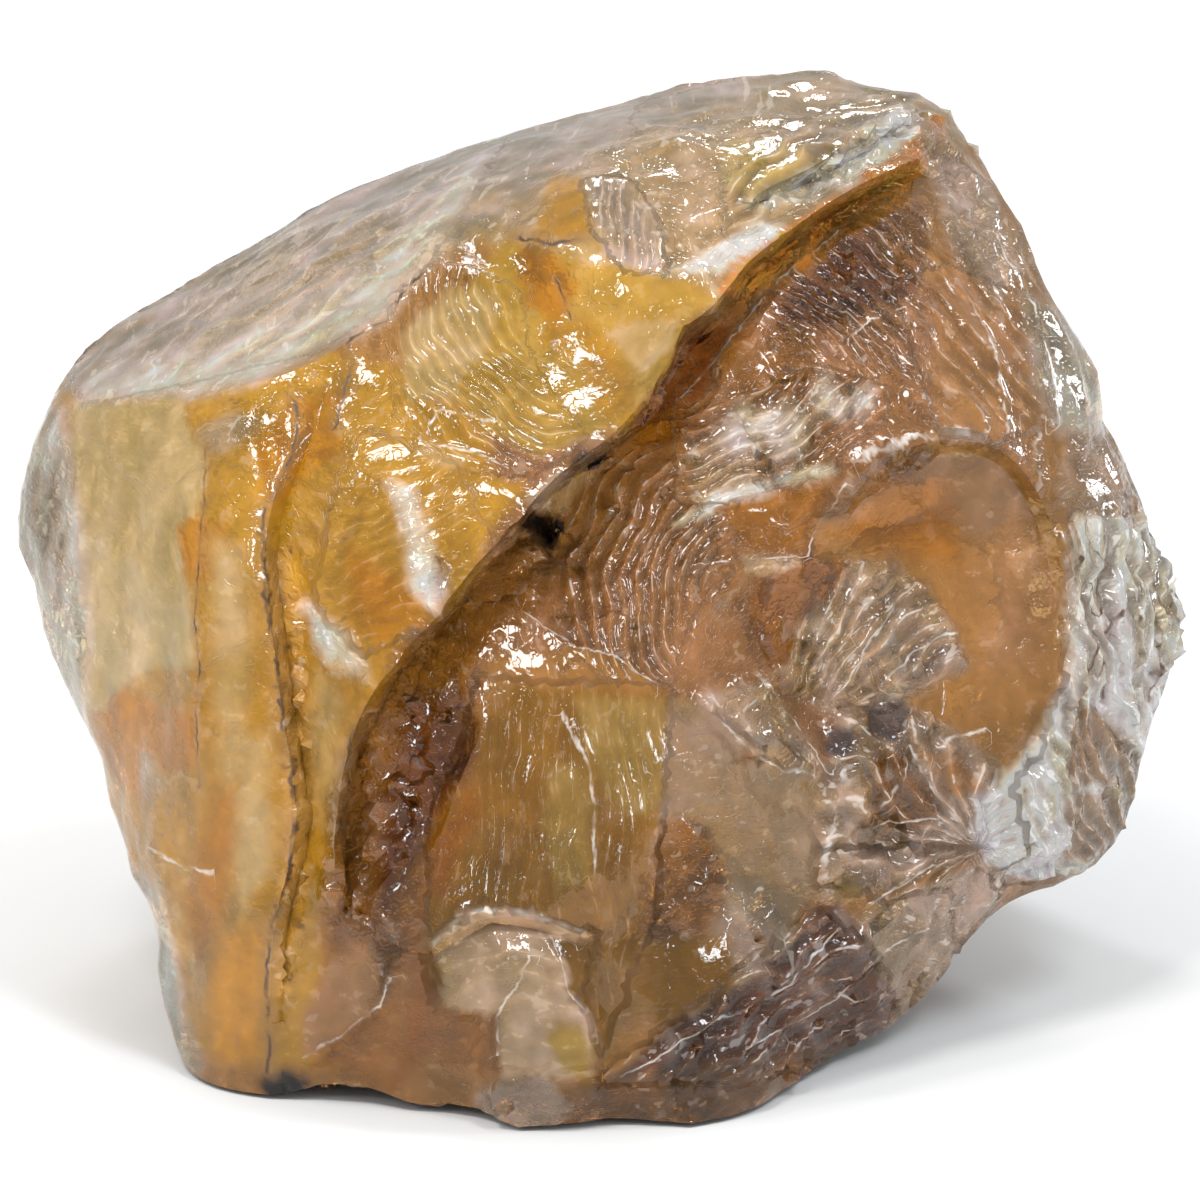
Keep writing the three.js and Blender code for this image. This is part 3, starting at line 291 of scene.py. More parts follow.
    ("grey_glass", 0.3, ((-7.6, -30), (-6, -29.2), (-3, -28.8), (-1.8, -30.6), (-4.3, -33), (-6.6, -32))),
    ("bright_glint", 0.9, ((-12.9, 7.4), (-11.2, 6.8), (-10.2, 3.6), (-9.2, 0.9), (-10, -0.5), (-11.2, 0.6),
        (-11.6, 3.6))),
    ("bright_glint", 1.4, ((6.6, 9.6), (8.4, 11.8), (10, 11.4), (11.4, 12), (12.6, 10.6), (12, 8.6),
        (10.4, 8.4), (9.8, 9.6), (8.2, 8.8))),
    ("bright_glint", 1.4, ((12.6, 12.4), (13.4, 13.9), (14.4, 12.6), (16.6, 12.6), (16.4, 11.6),
        (14.6, 10.9), (13, 11))),
    ("honey_rose", 0.7, ((-17.6, -27.6), (-12.9, -24.2), (-13.6, -21), (-16.4, -22), (-18, -25))),
    ("black", 1.0, ((-20.8, -29.2), (-19.2, -28.2), (-17.4, -29), (-18.4, -30.6), (-20.6, -30.6))),
)

# Cracks that rust and dirt have filled, and bright edges, partly white chipped quartz and partly painted
# highlight along the ridges, along the way the eye sees them: the width of each in mm and its points.
RUST_LINES = (
    (0.14, ((-18.5, 12.6), (-18.3, 10), (-19.2, 7.5), (-20.5, 5), (-20.3, 2.2), (-20.3, -0.5), (-19.7, -3),
        (-19.4, -6), (-18.8, -9.8), (-18.5, -13), (-19, -17.5), (-19.9, -19.5), (-20.2, -23), (-20, -29))),
    (0.06, ((-24.0, 9.8), (-24.0, 6), (-24.2, 2), (-24.4, -1.5), (-24.2, -4), (-24.4, -6.6),
        (-24.2, -11.5))),
    (0.12, ((-10.7, 19.9), (-12, 18.6), (-12.8, 17), (-14.2, 16.3), (-15.3, 15.5), (-15, 14.2),
        (-15.6, 12.3), (-16.1, 10.2))),
    (0.14, ((28.2, 6.2), (28.9, 3), (29.2, 0), (30, -2.7), (29.1, -5), (28.7, -8), (28.3, -11))),
    (0.12, ((30.1, -2.6), (31, -1.4), (31.5, -0.4))),
    (0.1, ((31.6, 6.6), (32.2, 4), (33.2, 1.4), (34, -0.6), (35.2, -1.9))),
    (0.09, ((30.2, 5), (30.5, 2), (30.4, -1))),
    (0.09, ((29.4, -6), (30.4, -7.2), (31.6, -9))),
    (0.08, ((30.4, 3.8), (30.8, 0.4), (30.2, -3.4), (30.6, -6.2))),
    (0.07, ((32.2, 2), (32.4, -1.6), (31.8, -5.2))),
    (0.07, ((33.8, 0.4), (33.6, -3.2), (33.0, -6.4))),
    (0.12, ((-5.6, 22), (-2.8, 21.5), (-0.6, 21.9))),
    (0.07, ((-2.8, 19.8), (-2.2, 18.4), (-1.6, 16.6))),
    (0.1, ((-16.1, -15), (-15.2, -8.6), (-14, -6.4))),
)
BRIGHT_EDGES_AND_HIGHLIGHTS = (
    (0.1, ((12.4, 2.6), (13.0, 4.5), (14.8, 7.6))),
    (0.09, ((4.6, 1.6), (6, 2.1), (8.8, 2.4), (12.2, 2.8))),
    (0.1, ((9.8, -4.7), (11, -6.5), (12.3, -8.5), (13.6, -10.6))),
    (0.16, ((18.9, -9), (19.6, -10.5), (20.8, -12.3), (22.4, -14.3))),
    (0.29, ((15.0, -10), (14.2, -12.4), (13.5, -14.4), (13.1, -17.5))),
    (0.2, ((-10.2, -20.9), (-8.5, -19.3), (-7.3, -18.8), (-5, -18.8), (-3, -19.3), (-0.5, -20.3))),
    (0.09, ((-3.1, -20.4), (-2.4, -22), (-1.9, -23.8), (-0.4, -25.4), (-0.2, -27))),
    (0.14, ((-4.1, -21.2), (-4.9, -23), (-6.2, -25.2), (-6.0, -27.6))),
    (0.19, ((-2.4, -6.6), (-1.6, -8.2), (-1, -9.4), (-0.6, -10.4), (-0.4, -13), (-0.3, -17))),
    (0.1, ((-4.6, -0.9), (-2.6, -2.2), (-1.4, -3), (0.8, -3.4), (2.4, -4.6), (3.8, -5.3))),
    (0.12, ((6.2, -6.3), (7.5, -7.6), (9.3, -9.4), (11, -10.4), (13, -10.8))),
    (0.29, ((26.4, 11.4), (26.3, 9), (26.5, 6.6))),
    (0.22, ((28.0, 4.4), (28.3, 3), (28.1, 1.6))),
    (0.36, ((14.9, 8.2), (16.4, 8.9), (19, 9.8), (21.4, 10.2), (23.4, 9.8))),
    (0.13, ((5.0, 12.0), (7.8, 14.8), (9.4, 17.4), (11.4, 19.4), (14.6, 22.2))),
    (0.22, ((-27.3, -15), (-25, -16.2), (-23, -16.5))),
    (0.14, ((-6.2, 10.6), (-9.6, 11.4), (-11, 9.6), (-8, 9), (-5.4, 7.8))),
    (0.12, ((14.4, 15.2), (16.2, 16.8), (18.4, 17.6))),
    (0.14, ((-18, -27.6), (-15.4, -26.2), (-13.2, -24.4), (-12.4, -22.4))),
    (0.2, ((16.6, -12.6), (18.8, -10.2), (21.2, -8.4), (23.6, -7.8))),
    (0.12, ((15.6, -14), (18.4, -13.2), (21.2, -13.2), (23.8, -14.4))),
    (0.16, ((14.8, -5.6), (16.2, -2.6), (18, 0), (19.2, 1.2))),
    (0.16, ((12.6, -4.4), (14.4, -1.6), (15.4, 1.2), (15.8, 2.4))),
    (0.14, ((16.8, -5.4), (18.6, -3.4), (20.6, -2.2), (21.8, -2))),
    (0.12, ((1, -29), (6, -26), (11, -23.2), (15.4, -19), (20, -16.2), (24, -14.8))),
    (0.1, ((8, -27.4), (13.4, -24.6), (17, -21.4), (21, -18.4))),
    (0.14, ((21.4, 19.6), (23.4, 15.8), (24.4, 12), (24.6, 9.6))),
    (0.12, ((23.6, 22.4), (26.2, 17.6), (27.4, 13.2), (27.6, 10.2))),
    (0.12, ((26, 19), (28.4, 15.4), (29.4, 11.6))),
)
LINE_REACH = 1.3

# Fans of fine relief: how it runs ("rings" about a middle or "rays" from it), the middle, the spacing and the
# depth as shares of the usual ones, and the outline of the place.
FANS = (
    ("rings", (-1, 19), 1.3, 0.6, ((-12.6, 17), (-11, 20), (-8, 20), (-5, 18.4), (-4.6, 15), (-3, 12),
        (-1, 9.8), (-4, 7.8), (-8, 8), (-12, 11))),
    ("rings", (10, 0), 1.4, 1.25, ((-2.6, 1), (-2, 7), (0, 9), (5, 9), (8, 6), (7.6, 2), (5, -1), (4, -5),
        (1, -4.6), (-2, -3))),
    ("rings", (0, 30), 1.5, 1.2, ((5, 6), (5, 12), (9, 13), (17, 14), (17, 11), (13, 7.8), (8, 6.2))),
    ("rings", (24.5, 3), 1.9, 1.3, ((8, 22), (13, 24.4), (20.6, 28.8), (19, 31), (10, 28), (7.6, 25))),
    ("rings", (14, -31), 2.0, 0.55, ((-31, 12), (-17, 15.3), (-11, 20), (-6, 27.6), (-20, 23),
        (-32, 14.4))),
    ("rays", (4, 60), 1.0, 0.9, ((-0.8, 25), (1.5, 25.3), (3, 23.5), (3.8, 20), (1.5, 20.2), (-0.3, 23))),
    ("rings", (4, 4), 1.5, 0.9, ((10.5, 15.4), (10.4, 19), (17, 24), (24, 18), (24, 12), (16.6, 13.4))),
    ("rings", (70, 4), 1.6, 1.6, ((28.6, 5), (28.2, -5), (26.6, -10), (23, -13), (24, -17), (33, -16),
        (38, -4), (34, 7))),
    ("rays", (22.6, -15), 2.2, 1.8, ((13, -7), (18, -6), (24, -10), (25.4, -15), (18, -18), (13, -17))),
    ("rays", (10, -10), 1.7, 1.8, ((14.8, 2.3), (19.8, 0.8), (22, -4), (17, -6.4), (11.6, -5.4),
        (12, -1.5))),
    ("rays", (-3, 40), 1.5, 0.22, ((-10, -14), (-7, -5), (4, -5.5), (3, -19), (0, -27), (-10, -24))),
    ("rings", (42, -73), 1.8, 2.2, ((0, -29), (5, -25.5), (13, -18.8), (16.5, -21.5), (18, -26), (8, -29))),
    ("rings", (-5.5, -40), 2.6, 0.35, ((-10, -21), (-7, -18.6), (-0.4, -20.4), (-1.6, -24), (-0.4, -28),
        (-6, -28), (-6, -24.8), (-9.4, -24.8))),
    ("rings", (-30, 40), 1.7, 0.25, ((-14, 10), (-9, 8), (-6, 2), (-10, -1), (-14, -3), (-17, 0),
        (-16, 6))),
    ("rays", (4, 34), 1.8, 0.6, ((18, 19), (21, 20), (26, 18), (27, 11), (24.6, 9.8), (20.6, 10.4))),
)
FAN_EDGE = 0.9

# Fans this deep and this closely spaced are what the finest skin is for.
RIPPLED_DEPTH, RIPPLED_SPACING = 0.6, 1.5

# Behind the rim the stone is one of these finishes in each plate of it. A plate's middle is given by its
# bearing and climb in degrees as seen from the middle of the stone.
STONE_MIDDLE = np.array([0.0, 0.7, 24.0])
BACK_PLATES = (
    ("gold", 100, 10), ("honey", 60, -12), ("smoke", 128, -24), ("cream_glow", 84, 44),
    ("white_flake", 28, 6), ("clear_grey", 146, 30), ("orange_brown", 160, -4), ("olive", 92, -34),
    ("white_flake", 40, 42),
    ("smoky_block", 176, 34), ("pink_grey", 14, -26), ("pale_cream", 186, 2), ("honey_orange", 118, 60),
    ("clear_grey", 0, 30), ("deep_gold", 200, -30), ("water_clear", 346, -4), ("dark_smoke", 50, -48),
    ("smoke", 220, -64), ("streaky_dark", 300, -60), ("grey_glass", 116, -10), ("honey_rose", 74, 14),
    ("gold", 148, -46), ("water_clear", 24, 64), ("orange_brown", 20, -58),
)

# How far noise bends the plates' edges in mm, how far apart their ripples are, their share of the full depth,
# and what every third plate has of that. The ripples spread from a point this far out from the middle of the
# stone, and this far aside, in mm.
PLATE_WANDER = 3.2
PLATE_SPACING = 2.4
PLATE_DEPTH = 0.4
SMOOTH_PLATE_SHARE = 0.25
BREAK_OUT = 34
BREAK_ASIDE = 16

# How squarely the skin faces the eye where the front's relief starts and where it is whole.
RIM = (-0.1, 0.1)

# Noise that bends the edges of the patches: the width of its waves, and how far it moves an edge, in mm.
SLOW_WAVES = 9.0
WIDE_WAVES = 4.0
CLOSE_WAVES = 1.3
FINE_WAVES = 0.55
PATCH_WANDER = 0.34
FINE_WANDER = 0.16


def in_view(points):
    """Where the eye sees points of the frame, in mm: across, up, and how far towards the eye."""
    away = points - VIEW_MIDDLE
    towards = away @ TOWARDS
    scale = 1 - towards / EYE_DISTANCE
    return np.stack([away @ ACROSS / scale, away @ UP / scale, towards], axis=1)


def ramp(value, low, high):
    """A soft step: 0 up to low, 1 from high."""
    share = np.clip((value - low) / (high - low), 0, 1)
    return share * share * (3 - 2 * share)


def wander(points, size, seed):
    """Smooth noise about a number of points, three values each between about -1 and 1."""
    noise.seed_set(seed)
    shift = Vector((seed * 7.3, seed * 3.1, seed * 5.7))
    return np.array([noise.noise_vector(Vector(point) / size + shift) for point in points])


def from_line(spots, line):
    """The distance of spots from a line of points, signed by side, and whether they are past its ends."""
    nearest = np.full(len(spots), np.inf)
    side = np.ones(len(spots))
    past = np.zeros(len(spots), bool)
    last = len(line) - 2
    for number, (start, end) in enumerate(zip(line[:-1], line[1:])):
        start, way = np.array(start, float), np.subtract(end, start)
        away = spots - start
        share = away @ way / (way @ way)
        foot = away - np.clip(share, 0, 1)[:, None] * way
        distance = np.hypot(foot[:, 0], foot[:, 1])
        closer = distance < nearest
        nearest = np.where(closer, distance, nearest)
        side = np.where(closer, np.sign(way[0] * away[:, 1] - way[1] * away[:, 0]), side)
        beyond = ((number == 0) & (share < 0)) | ((number == last) & (share > 1))
        past = np.where(closer, beyond, past)
    return nearest * side, past


def inside_by(spots, outline):
    """How far spots are inside an outline, in mm, and less than 0 outside it."""
    closed = list(outline) + [outline[0]]
    distance, _ = from_line(spots, closed)
    inside = np.zeros(len(spots), bool)
    for (x0, y0), (x1, y1) in zip(closed[:-1], closed[1:]):
        if y0 == y1:
            continue
        spans = (y0 > spots[:, 1]) != (y1 > spots[:, 1])
        inside ^= spans & (spots[:, 0] < (x1 - x0) * (spots[:, 1] - y0) / (y1 - y0) + x0)
    return np.where(inside, 1, -1) * np.abs(distance)


def near_outline(spots, outline, margin):
    """The numbers of the spots within a margin of an outline's box."""
    corners = np.array(outline, float)
    low, high = corners.min(0) - margin, corners.max(0) + margin
    return np.flatnonzero(((spots > low) & (spots < high)).all(1))


def skin_of(node):
    """A CAD node's points in mm, its triangles and its sharp edges, with the points of its faces merged."""
    work = bmesh.new()
    work.from_mesh(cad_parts[node].data)
    bmesh.ops.remove_doubles(work, verts=work.verts, dist=1e-6)
    work.verts.index_update()
    points = np.array([vert.co for vert in work.verts]) / MM
    triangles = np.array([[vert.index for vert in face.verts] for face in work.faces])
    sharp = [sorted(vert.index for vert in edge.verts) for edge in work.edges
             if len(edge.link_faces) == 2 and edge.calc_face_angle() > SHARP_ANGLE]
    work.free()
    return points, triangles, np.array(sharp)


def sides_of(triangles, count):
    """Each edge once, as a sorted pair of points, and which edge each side of each triangle is."""
    ends = np.stack([triangles, np.roll(triangles, -1, axis=1)], axis=2).reshape(-1, 2)
    ends.sort(axis=1)
    keys, which = np.unique(ends[:, 0] * count + ends[:, 1], return_inverse=True)
    return np.stack([keys // count, keys % count], axis=1), which.reshape(-1, 3)


def point_normals(points, triangles):
    """The outward direction at each point, as its faces' areas weigh it."""
    a, b, c = (points[triangles[:, k]] for k in range(3))
    faces = np.cross(b - a, c - a)
    total = np.zeros_like(points)
    for k in range(3):
        for axis in range(3):
            total[:, axis] += np.bincount(triangles[:, k], faces[:, axis], len(points))
    return total / np.maximum(np.linalg.norm(total, axis=1), 1e-12)[:, None]


def split_edges(points, triangles, sharp, longest):
    """Halves each edge that is too long, and cuts its triangles to suit. Returns None if no edge is."""
    count = len(points)
    pairs, sides = sides_of(triangles, count)
    lengths = np.linalg.norm(points[pairs[:, 0]] - points[pairs[:, 1]], axis=1)
    cut = lengths > (longest[pairs[:, 0]] + longest[pairs[:, 1]]) / 2
    if not cut.any():
        return None
    longest_side = sides[np.arange(len(sides)), lengths[sides].argmax(axis=1)]
    for _ in range(3):
        cut[longest_side[cut[sides].any(axis=1)]] = True
    number = np.full(len(pairs), -1)
    number[cut] = count + np.arange(cut.sum())
    points = np.concatenate([points, points[pairs[cut]].mean(axis=1)])

    keys = pairs[:, 0] * count + pairs[:, 1]
    crease = np.searchsorted(keys, sharp[:, 0] * count + sharp[:, 1])
    middle = number[crease]
    whole, halved = middle < 0, middle >= 0
    sharp = np.concatenate([sharp[whole],
                            np.stack([sharp[halved, 0], middle[halved]], axis=1),
                            np.stack([sharp[halved, 1], middle[halved]], axis=1)])

    middles = number[sides]
    how_many = (middles >= 0).sum(axis=1)
    made = [triangles[how_many == 0]]
    for wanted in (1, 2, 3):
        chosen = how_many == wanted
        corner, half = triangles[chosen], middles[chosen]
        if wanted == 1:
            turn = half.argmax(axis=1)
        elif wanted == 2:
            turn = (half.argmin(axis=1) + 1) % 3
        else:
            turn = np.zeros(len(corner), int)
        order = (turn[:, None] + np.arange(3)) % 3
        a, b, c = np.take_along_axis(corner, order, axis=1).T
        ab, bc, ca = np.take_along_axis(half, order, axis=1).T
        if wanted == 1:
            made += [np.stack([a, ab, c], axis=1), np.stack([ab, b, c], axis=1)]
        elif wanted == 2:
            made.append(np.stack([ab, b, bc], axis=1))
            shorter = (np.linalg.norm(points[a] - points[bc], axis=1)
                       < np.linalg.norm(points[ab] - points[c], axis=1))[:, None]
            made.append(np.where(shorter, np.stack([a, ab, bc], axis=1), np.stack([a, ab, c], axis=1)))
            made.append(np.where(shorter, np.stack([a, bc, c], axis=1), np.stack([ab, bc, c], axis=1)))
        else:
            made += [np.stack([a, ab, ca], axis=1), np.stack([ab, b, bc], axis=1),
                     np.stack([ca, bc, c], axis=1), np.stack([ab, bc, ca], axis=1)]
    return points, np.concatenate(made), sharp


def ease(points, triangles, sharp, rounds, share):
    """Moves each point towards its neighbours' middle. A point on a sharp edge keeps to it, and corners and
    the seat stay."""
    count = len(points)
    pairs, _ = sides_of(triangles, count)
    on_sharp = np.bincount(sharp.ravel(), minlength=count)
    along = on_sharp == 2
    fixed = (on_sharp > 2) | (points[:, 2] < SEAT_HEIGHT)
    for _ in range(rounds):
        middle = mean_of_neighbours(points, pairs)
        edge_middle = mean_of_neighbours(points, sharp)
        middle[along] = edge_middle[along]
        middle[fixed] = points[fixed]
        points = points + share * (middle - points)
    return points


def mean_of_neighbours(points, pairs):
    """The middle of the points that each point is joined to."""
    count = len(points)
    total = np.zeros_like(points)
    for one, other in ((0, 1), (1, 0)):
        for axis in range(3):
            total[:, axis] += np.bincount(pairs[:, one], points[pairs[:, other], axis], count)
    joined = np.bincount(pairs.ravel(), minlength=count)
    return total / np.maximum(joined, 1)[:, None]


def facing_eye(points, normals):
    """How squarely each point's skin faces the eye, from -1 to 1."""
    away = VIEW_MIDDLE + EYE_DISTANCE * TOWARDS - points
    return (away * normals).sum(axis=1) / np.linalg.norm(away, axis=1)


def finest_edges(points, triangles, shape):
    """The longest edge to leave at each point, in mm: finer on the front, and finest in the rippled fans."""
    facing = facing_eye(points, point_normals(points, triangles))
    spots = in_view(points)[:, :2]
    front, back, fan = shape.front_edge / MM, shape.back_edge / MM, shape.fan_edge / MM
    longest = back + (front - back) * ramp(facing, -0.25, 0.0)
    for _, _, spacing, depth, outline in FANS:
        near = near_outline(spots, outline, 1)
        inside = near[(inside_by(spots[near], outline) > -0.3) & (facing[near] > -0.1)]
        if depth >= RIPPLED_DEPTH and spacing <= RIPPLED_SPACING:
            longest[inside] = np.minimum(longest[inside], fan)
    longest[points[:, 2] < SEAT_HEIGHT] = 3 * back
    return longest


def worked_skin(shape):
    """The stone's skin with its facets split and eased between its sharp edges."""
    points, triangles, sharp = skin_of(NODE)
    for longest, rounds, share in EASING_ROUNDS:
        for _ in range(MOST_PASSES):
            split = split_edges(points, triangles, sharp, np.full(len(points), longest))
            if split is None:
                break
            points, triangles, sharp = split
        points = ease(points, triangles, sharp, rounds, share)
    for _ in range(MOST_PASSES):
        split = split_edges(points, triangles, sharp, finest_edges(points, triangles, shape))
        if split is None:
            break
        points, triangles, sharp = split
    points = ease(points, triangles, sharp, *FINAL_EASING)
    return points, triangles, sharp


def linear(colour):
    """A screen colour of 0 to 255 as a linear one."""
    share = np.array(colour) / 255
    return np.where(share <= 0.04045, share / 12.92, ((share + 0.055) / 1.055) ** 2.4)


def finish_row(name):
    """A finish as one row: its linear colour, then its other values."""
    colour, *others = FINISHES[name]
    return np.concatenate([linear(colour), others])


def plate_bearings():
    """The direction of each back plate's middle from the middle of the stone."""
    angles = np.radians([(bearing, climb) for _, bearing, climb in BACK_PLATES])
    bearing, climb = angles.T
    return np.stack([np.cos(climb) * np.cos(bearing), np.cos(climb) * np.sin(bearing), np.sin(climb)], axis=1)


def back_finish(points, warp):
    """Each point's finish by its plate, its distance from the plate's edge in mm, and its plate."""
    away = points - STONE_MIDDLE + PLATE_WANDER * warp
    reach = np.linalg.norm(away, axis=1)
    angle = np.arccos(np.clip(away @ plate_bearings().T / reach[:, None], -1, 1))
    order = np.argsort(angle, axis=1)[:, :2]
    best, second = np.take_along_axis(angle, order, axis=1).T
    rows = np.array([finish_row(name) for name, _, _ in BACK_PLATES])
    edge = (second - best) / 2 * reach
    blend = 0.5 * (1 - ramp(edge, 0, 0.6))[:, None]
    return rows[order[:, 0]] * (1 - blend) + rows[order[:, 1]] * blend, edge, order[:, 0]


def painted(points, facing):
    """Each point's finish: the front as the eye sees it, and the back by its plates."""
    spots = in_view(points)[:, :2]
    warp = wander(points, WIDE_WAVES, 1) + 0.5 * wander(points, CLOSE_WAVES, 2)
    slow = wander(points, SLOW_WAVES, 3)
    rows, edge, plate = back_finish(points, slow + 0.25 * warp)
    front = np.tile(finish_row("honey"), (len(points), 1))
    seen = spots + PATCH_WANDER * warp[:, :2] + FINE_WANDER * wander(points, FINE_WAVES, 4)[:, :2]
    for name, soft, outline in PATCHES:
        near = near_outline(seen, outline, soft)
        cover = ramp(inside_by(seen[near], outline), -soft / 2, soft / 2)[:, None]
        front[near] += cover * (finish_row(name) - front[near])
    share = ramp(facing + 0.12 * slow[:, 0], -0.12, 0.1)[:, None]
    return rows + share * (front - rows), edge, plate


def lines_near(points, facing, lines):
    """The signed distance to the nearest line over its width, and a share that fades beside it."""
    spots = in_view(points)[:, :2]
    distance = np.full(len(points), LINE_REACH / 0.1)
    share = np.zeros(len(points))
    for width, line in lines:
        near = near_outline(spots, line, LINE_REACH)
        away, past = from_line(spots[near], line)
        fade = (1 - ramp(np.abs(away), 0.45 * LINE_REACH, LINE_REACH)) * np.where(past, 0, 1)
        closer = fade > share[near]
        chosen = near[closer]
        distance[chosen] = away[closer] / width
        share[chosen] = fade[closer]
    return distance, share * ramp(facing, -0.1, 0.05)


def fan_relief(points, facing, edge, plate):
    """How far each point is along the way that its fan's relief repeats, in mm, and the relief's share."""
    spots = in_view(points)[:, :2]
    bearings = plate_bearings()
    starts = STONE_MIDDLE + BREAK_OUT * bearings + BREAK_ASIDE * np.roll(bearings, 1, axis=0)
    way = np.linalg.norm(points - starts[plate], axis=1) / PLATE_SPACING
    back = 1 - ramp(facing, *RIM)
    depth_of_plate = np.where(plate % 3 == 0, SMOOTH_PLATE_SHARE, 1.0)
    share = PLATE_DEPTH * back * ramp(edge, 0.2, 2.0) * depth_of_plate
    for kind, middle, spacing, depth, outline in FANS:
        near = near_outline(spots, outline, FAN_EDGE)
        away = spots[near] - np.array(middle, float)
        cover = ramp(inside_by(spots[near], outline), -FAN_EDGE / 2, FAN_EDGE) * ramp(facing[near], *RIM)
        if kind == "rings":
            along = np.hypot(away[:, 0], away[:, 1])
        else:
            reach = np.hypot(*(np.mean(outline, axis=0) - middle))
            along = np.arctan2(away[:, 1], away[:, 0]) * reach
        chosen = near[cover > 0.02]
        way[chosen] = (along / spacing)[cover > 0.02]
        share[chosen] = (cover * depth)[cover > 0.02]
    return way, share


def mesh_of(name, points, triangles, values):
    """A mesh in metres with a value or colour at each point for each named attribute."""
    mesh = bpy.data.meshes.new(name)
    mesh.from_pydata((points * MM).tolist(), [], triangles.tolist())
    for key, numbers in values.items():
        if numbers.ndim == 2:
            attribute = mesh.attributes.new(key, "FLOAT_COLOR", "POINT")
            full = np.concatenate([numbers, np.ones((len(numbers), 1))], axis=1)
            attribute.data.foreach_set("color", full.astype(np.float32).ravel())
        else:
            attribute = mesh.attributes.new(key, "FLOAT", "POINT")
            attribute.data.foreach_set("value", numbers.astype(np.float32))
    mesh.update()
    return mesh


class Wiring:
    """Adds nodes to a tree. An input given as a socket is joined, and any other value is set on it."""

    def __init__(self, tree):
        self.tree = tree

    def feed(self, socket, value):
        if isinstance(value, bpy.types.NodeSocket):
            self.tree.links.new(value, socket)
        else:
            socket.default_value = value

    def add(self, kind, inputs, **settings):
        node = self.tree.nodes.new(kind)
        for name, value in settings.items():
            setattr(node, name, value)
        for key, value in inputs.items():
            self.feed(node.inputs[key], value)
        return node

    def math(self, operation, *values):
        return self.add("ShaderNodeMath", dict(enumerate(values)), operation=operation).outputs[0]

    def vector(self, operation, *values, scale=None):
        inputs = dict(enumerate(values))
        if scale is not None:
            inputs["Scale"] = scale
        return self.add("ShaderNodeVectorMath", inputs, operation=operation).outputs[0]

    def step(self, value, low, high, start=0.0, end=1.0):
        inputs = {0: value, 1: low, 2: high, 3: start, 4: end}
        return self.add("ShaderNodeMapRange", inputs, interpolation_type="SMOOTHSTEP").outputs[0]

    def noise(self, place, scale, detail=2.0, roughness=0.5, turn=0.0, seed=0.0):
        inputs = {"Vector": place, "W": seed, "Scale": scale, "Detail": detail, "Roughness": roughness,
                  "Distortion": turn}
        return self.add("ShaderNodeTexNoise", inputs, noise_dimensions="4D")

    def mix(self, share, one, other):
        inputs = {0: share, 6: one, 7: other}
        return self.add("ShaderNodeMix", inputs, data_type="RGBA").outputs[2]


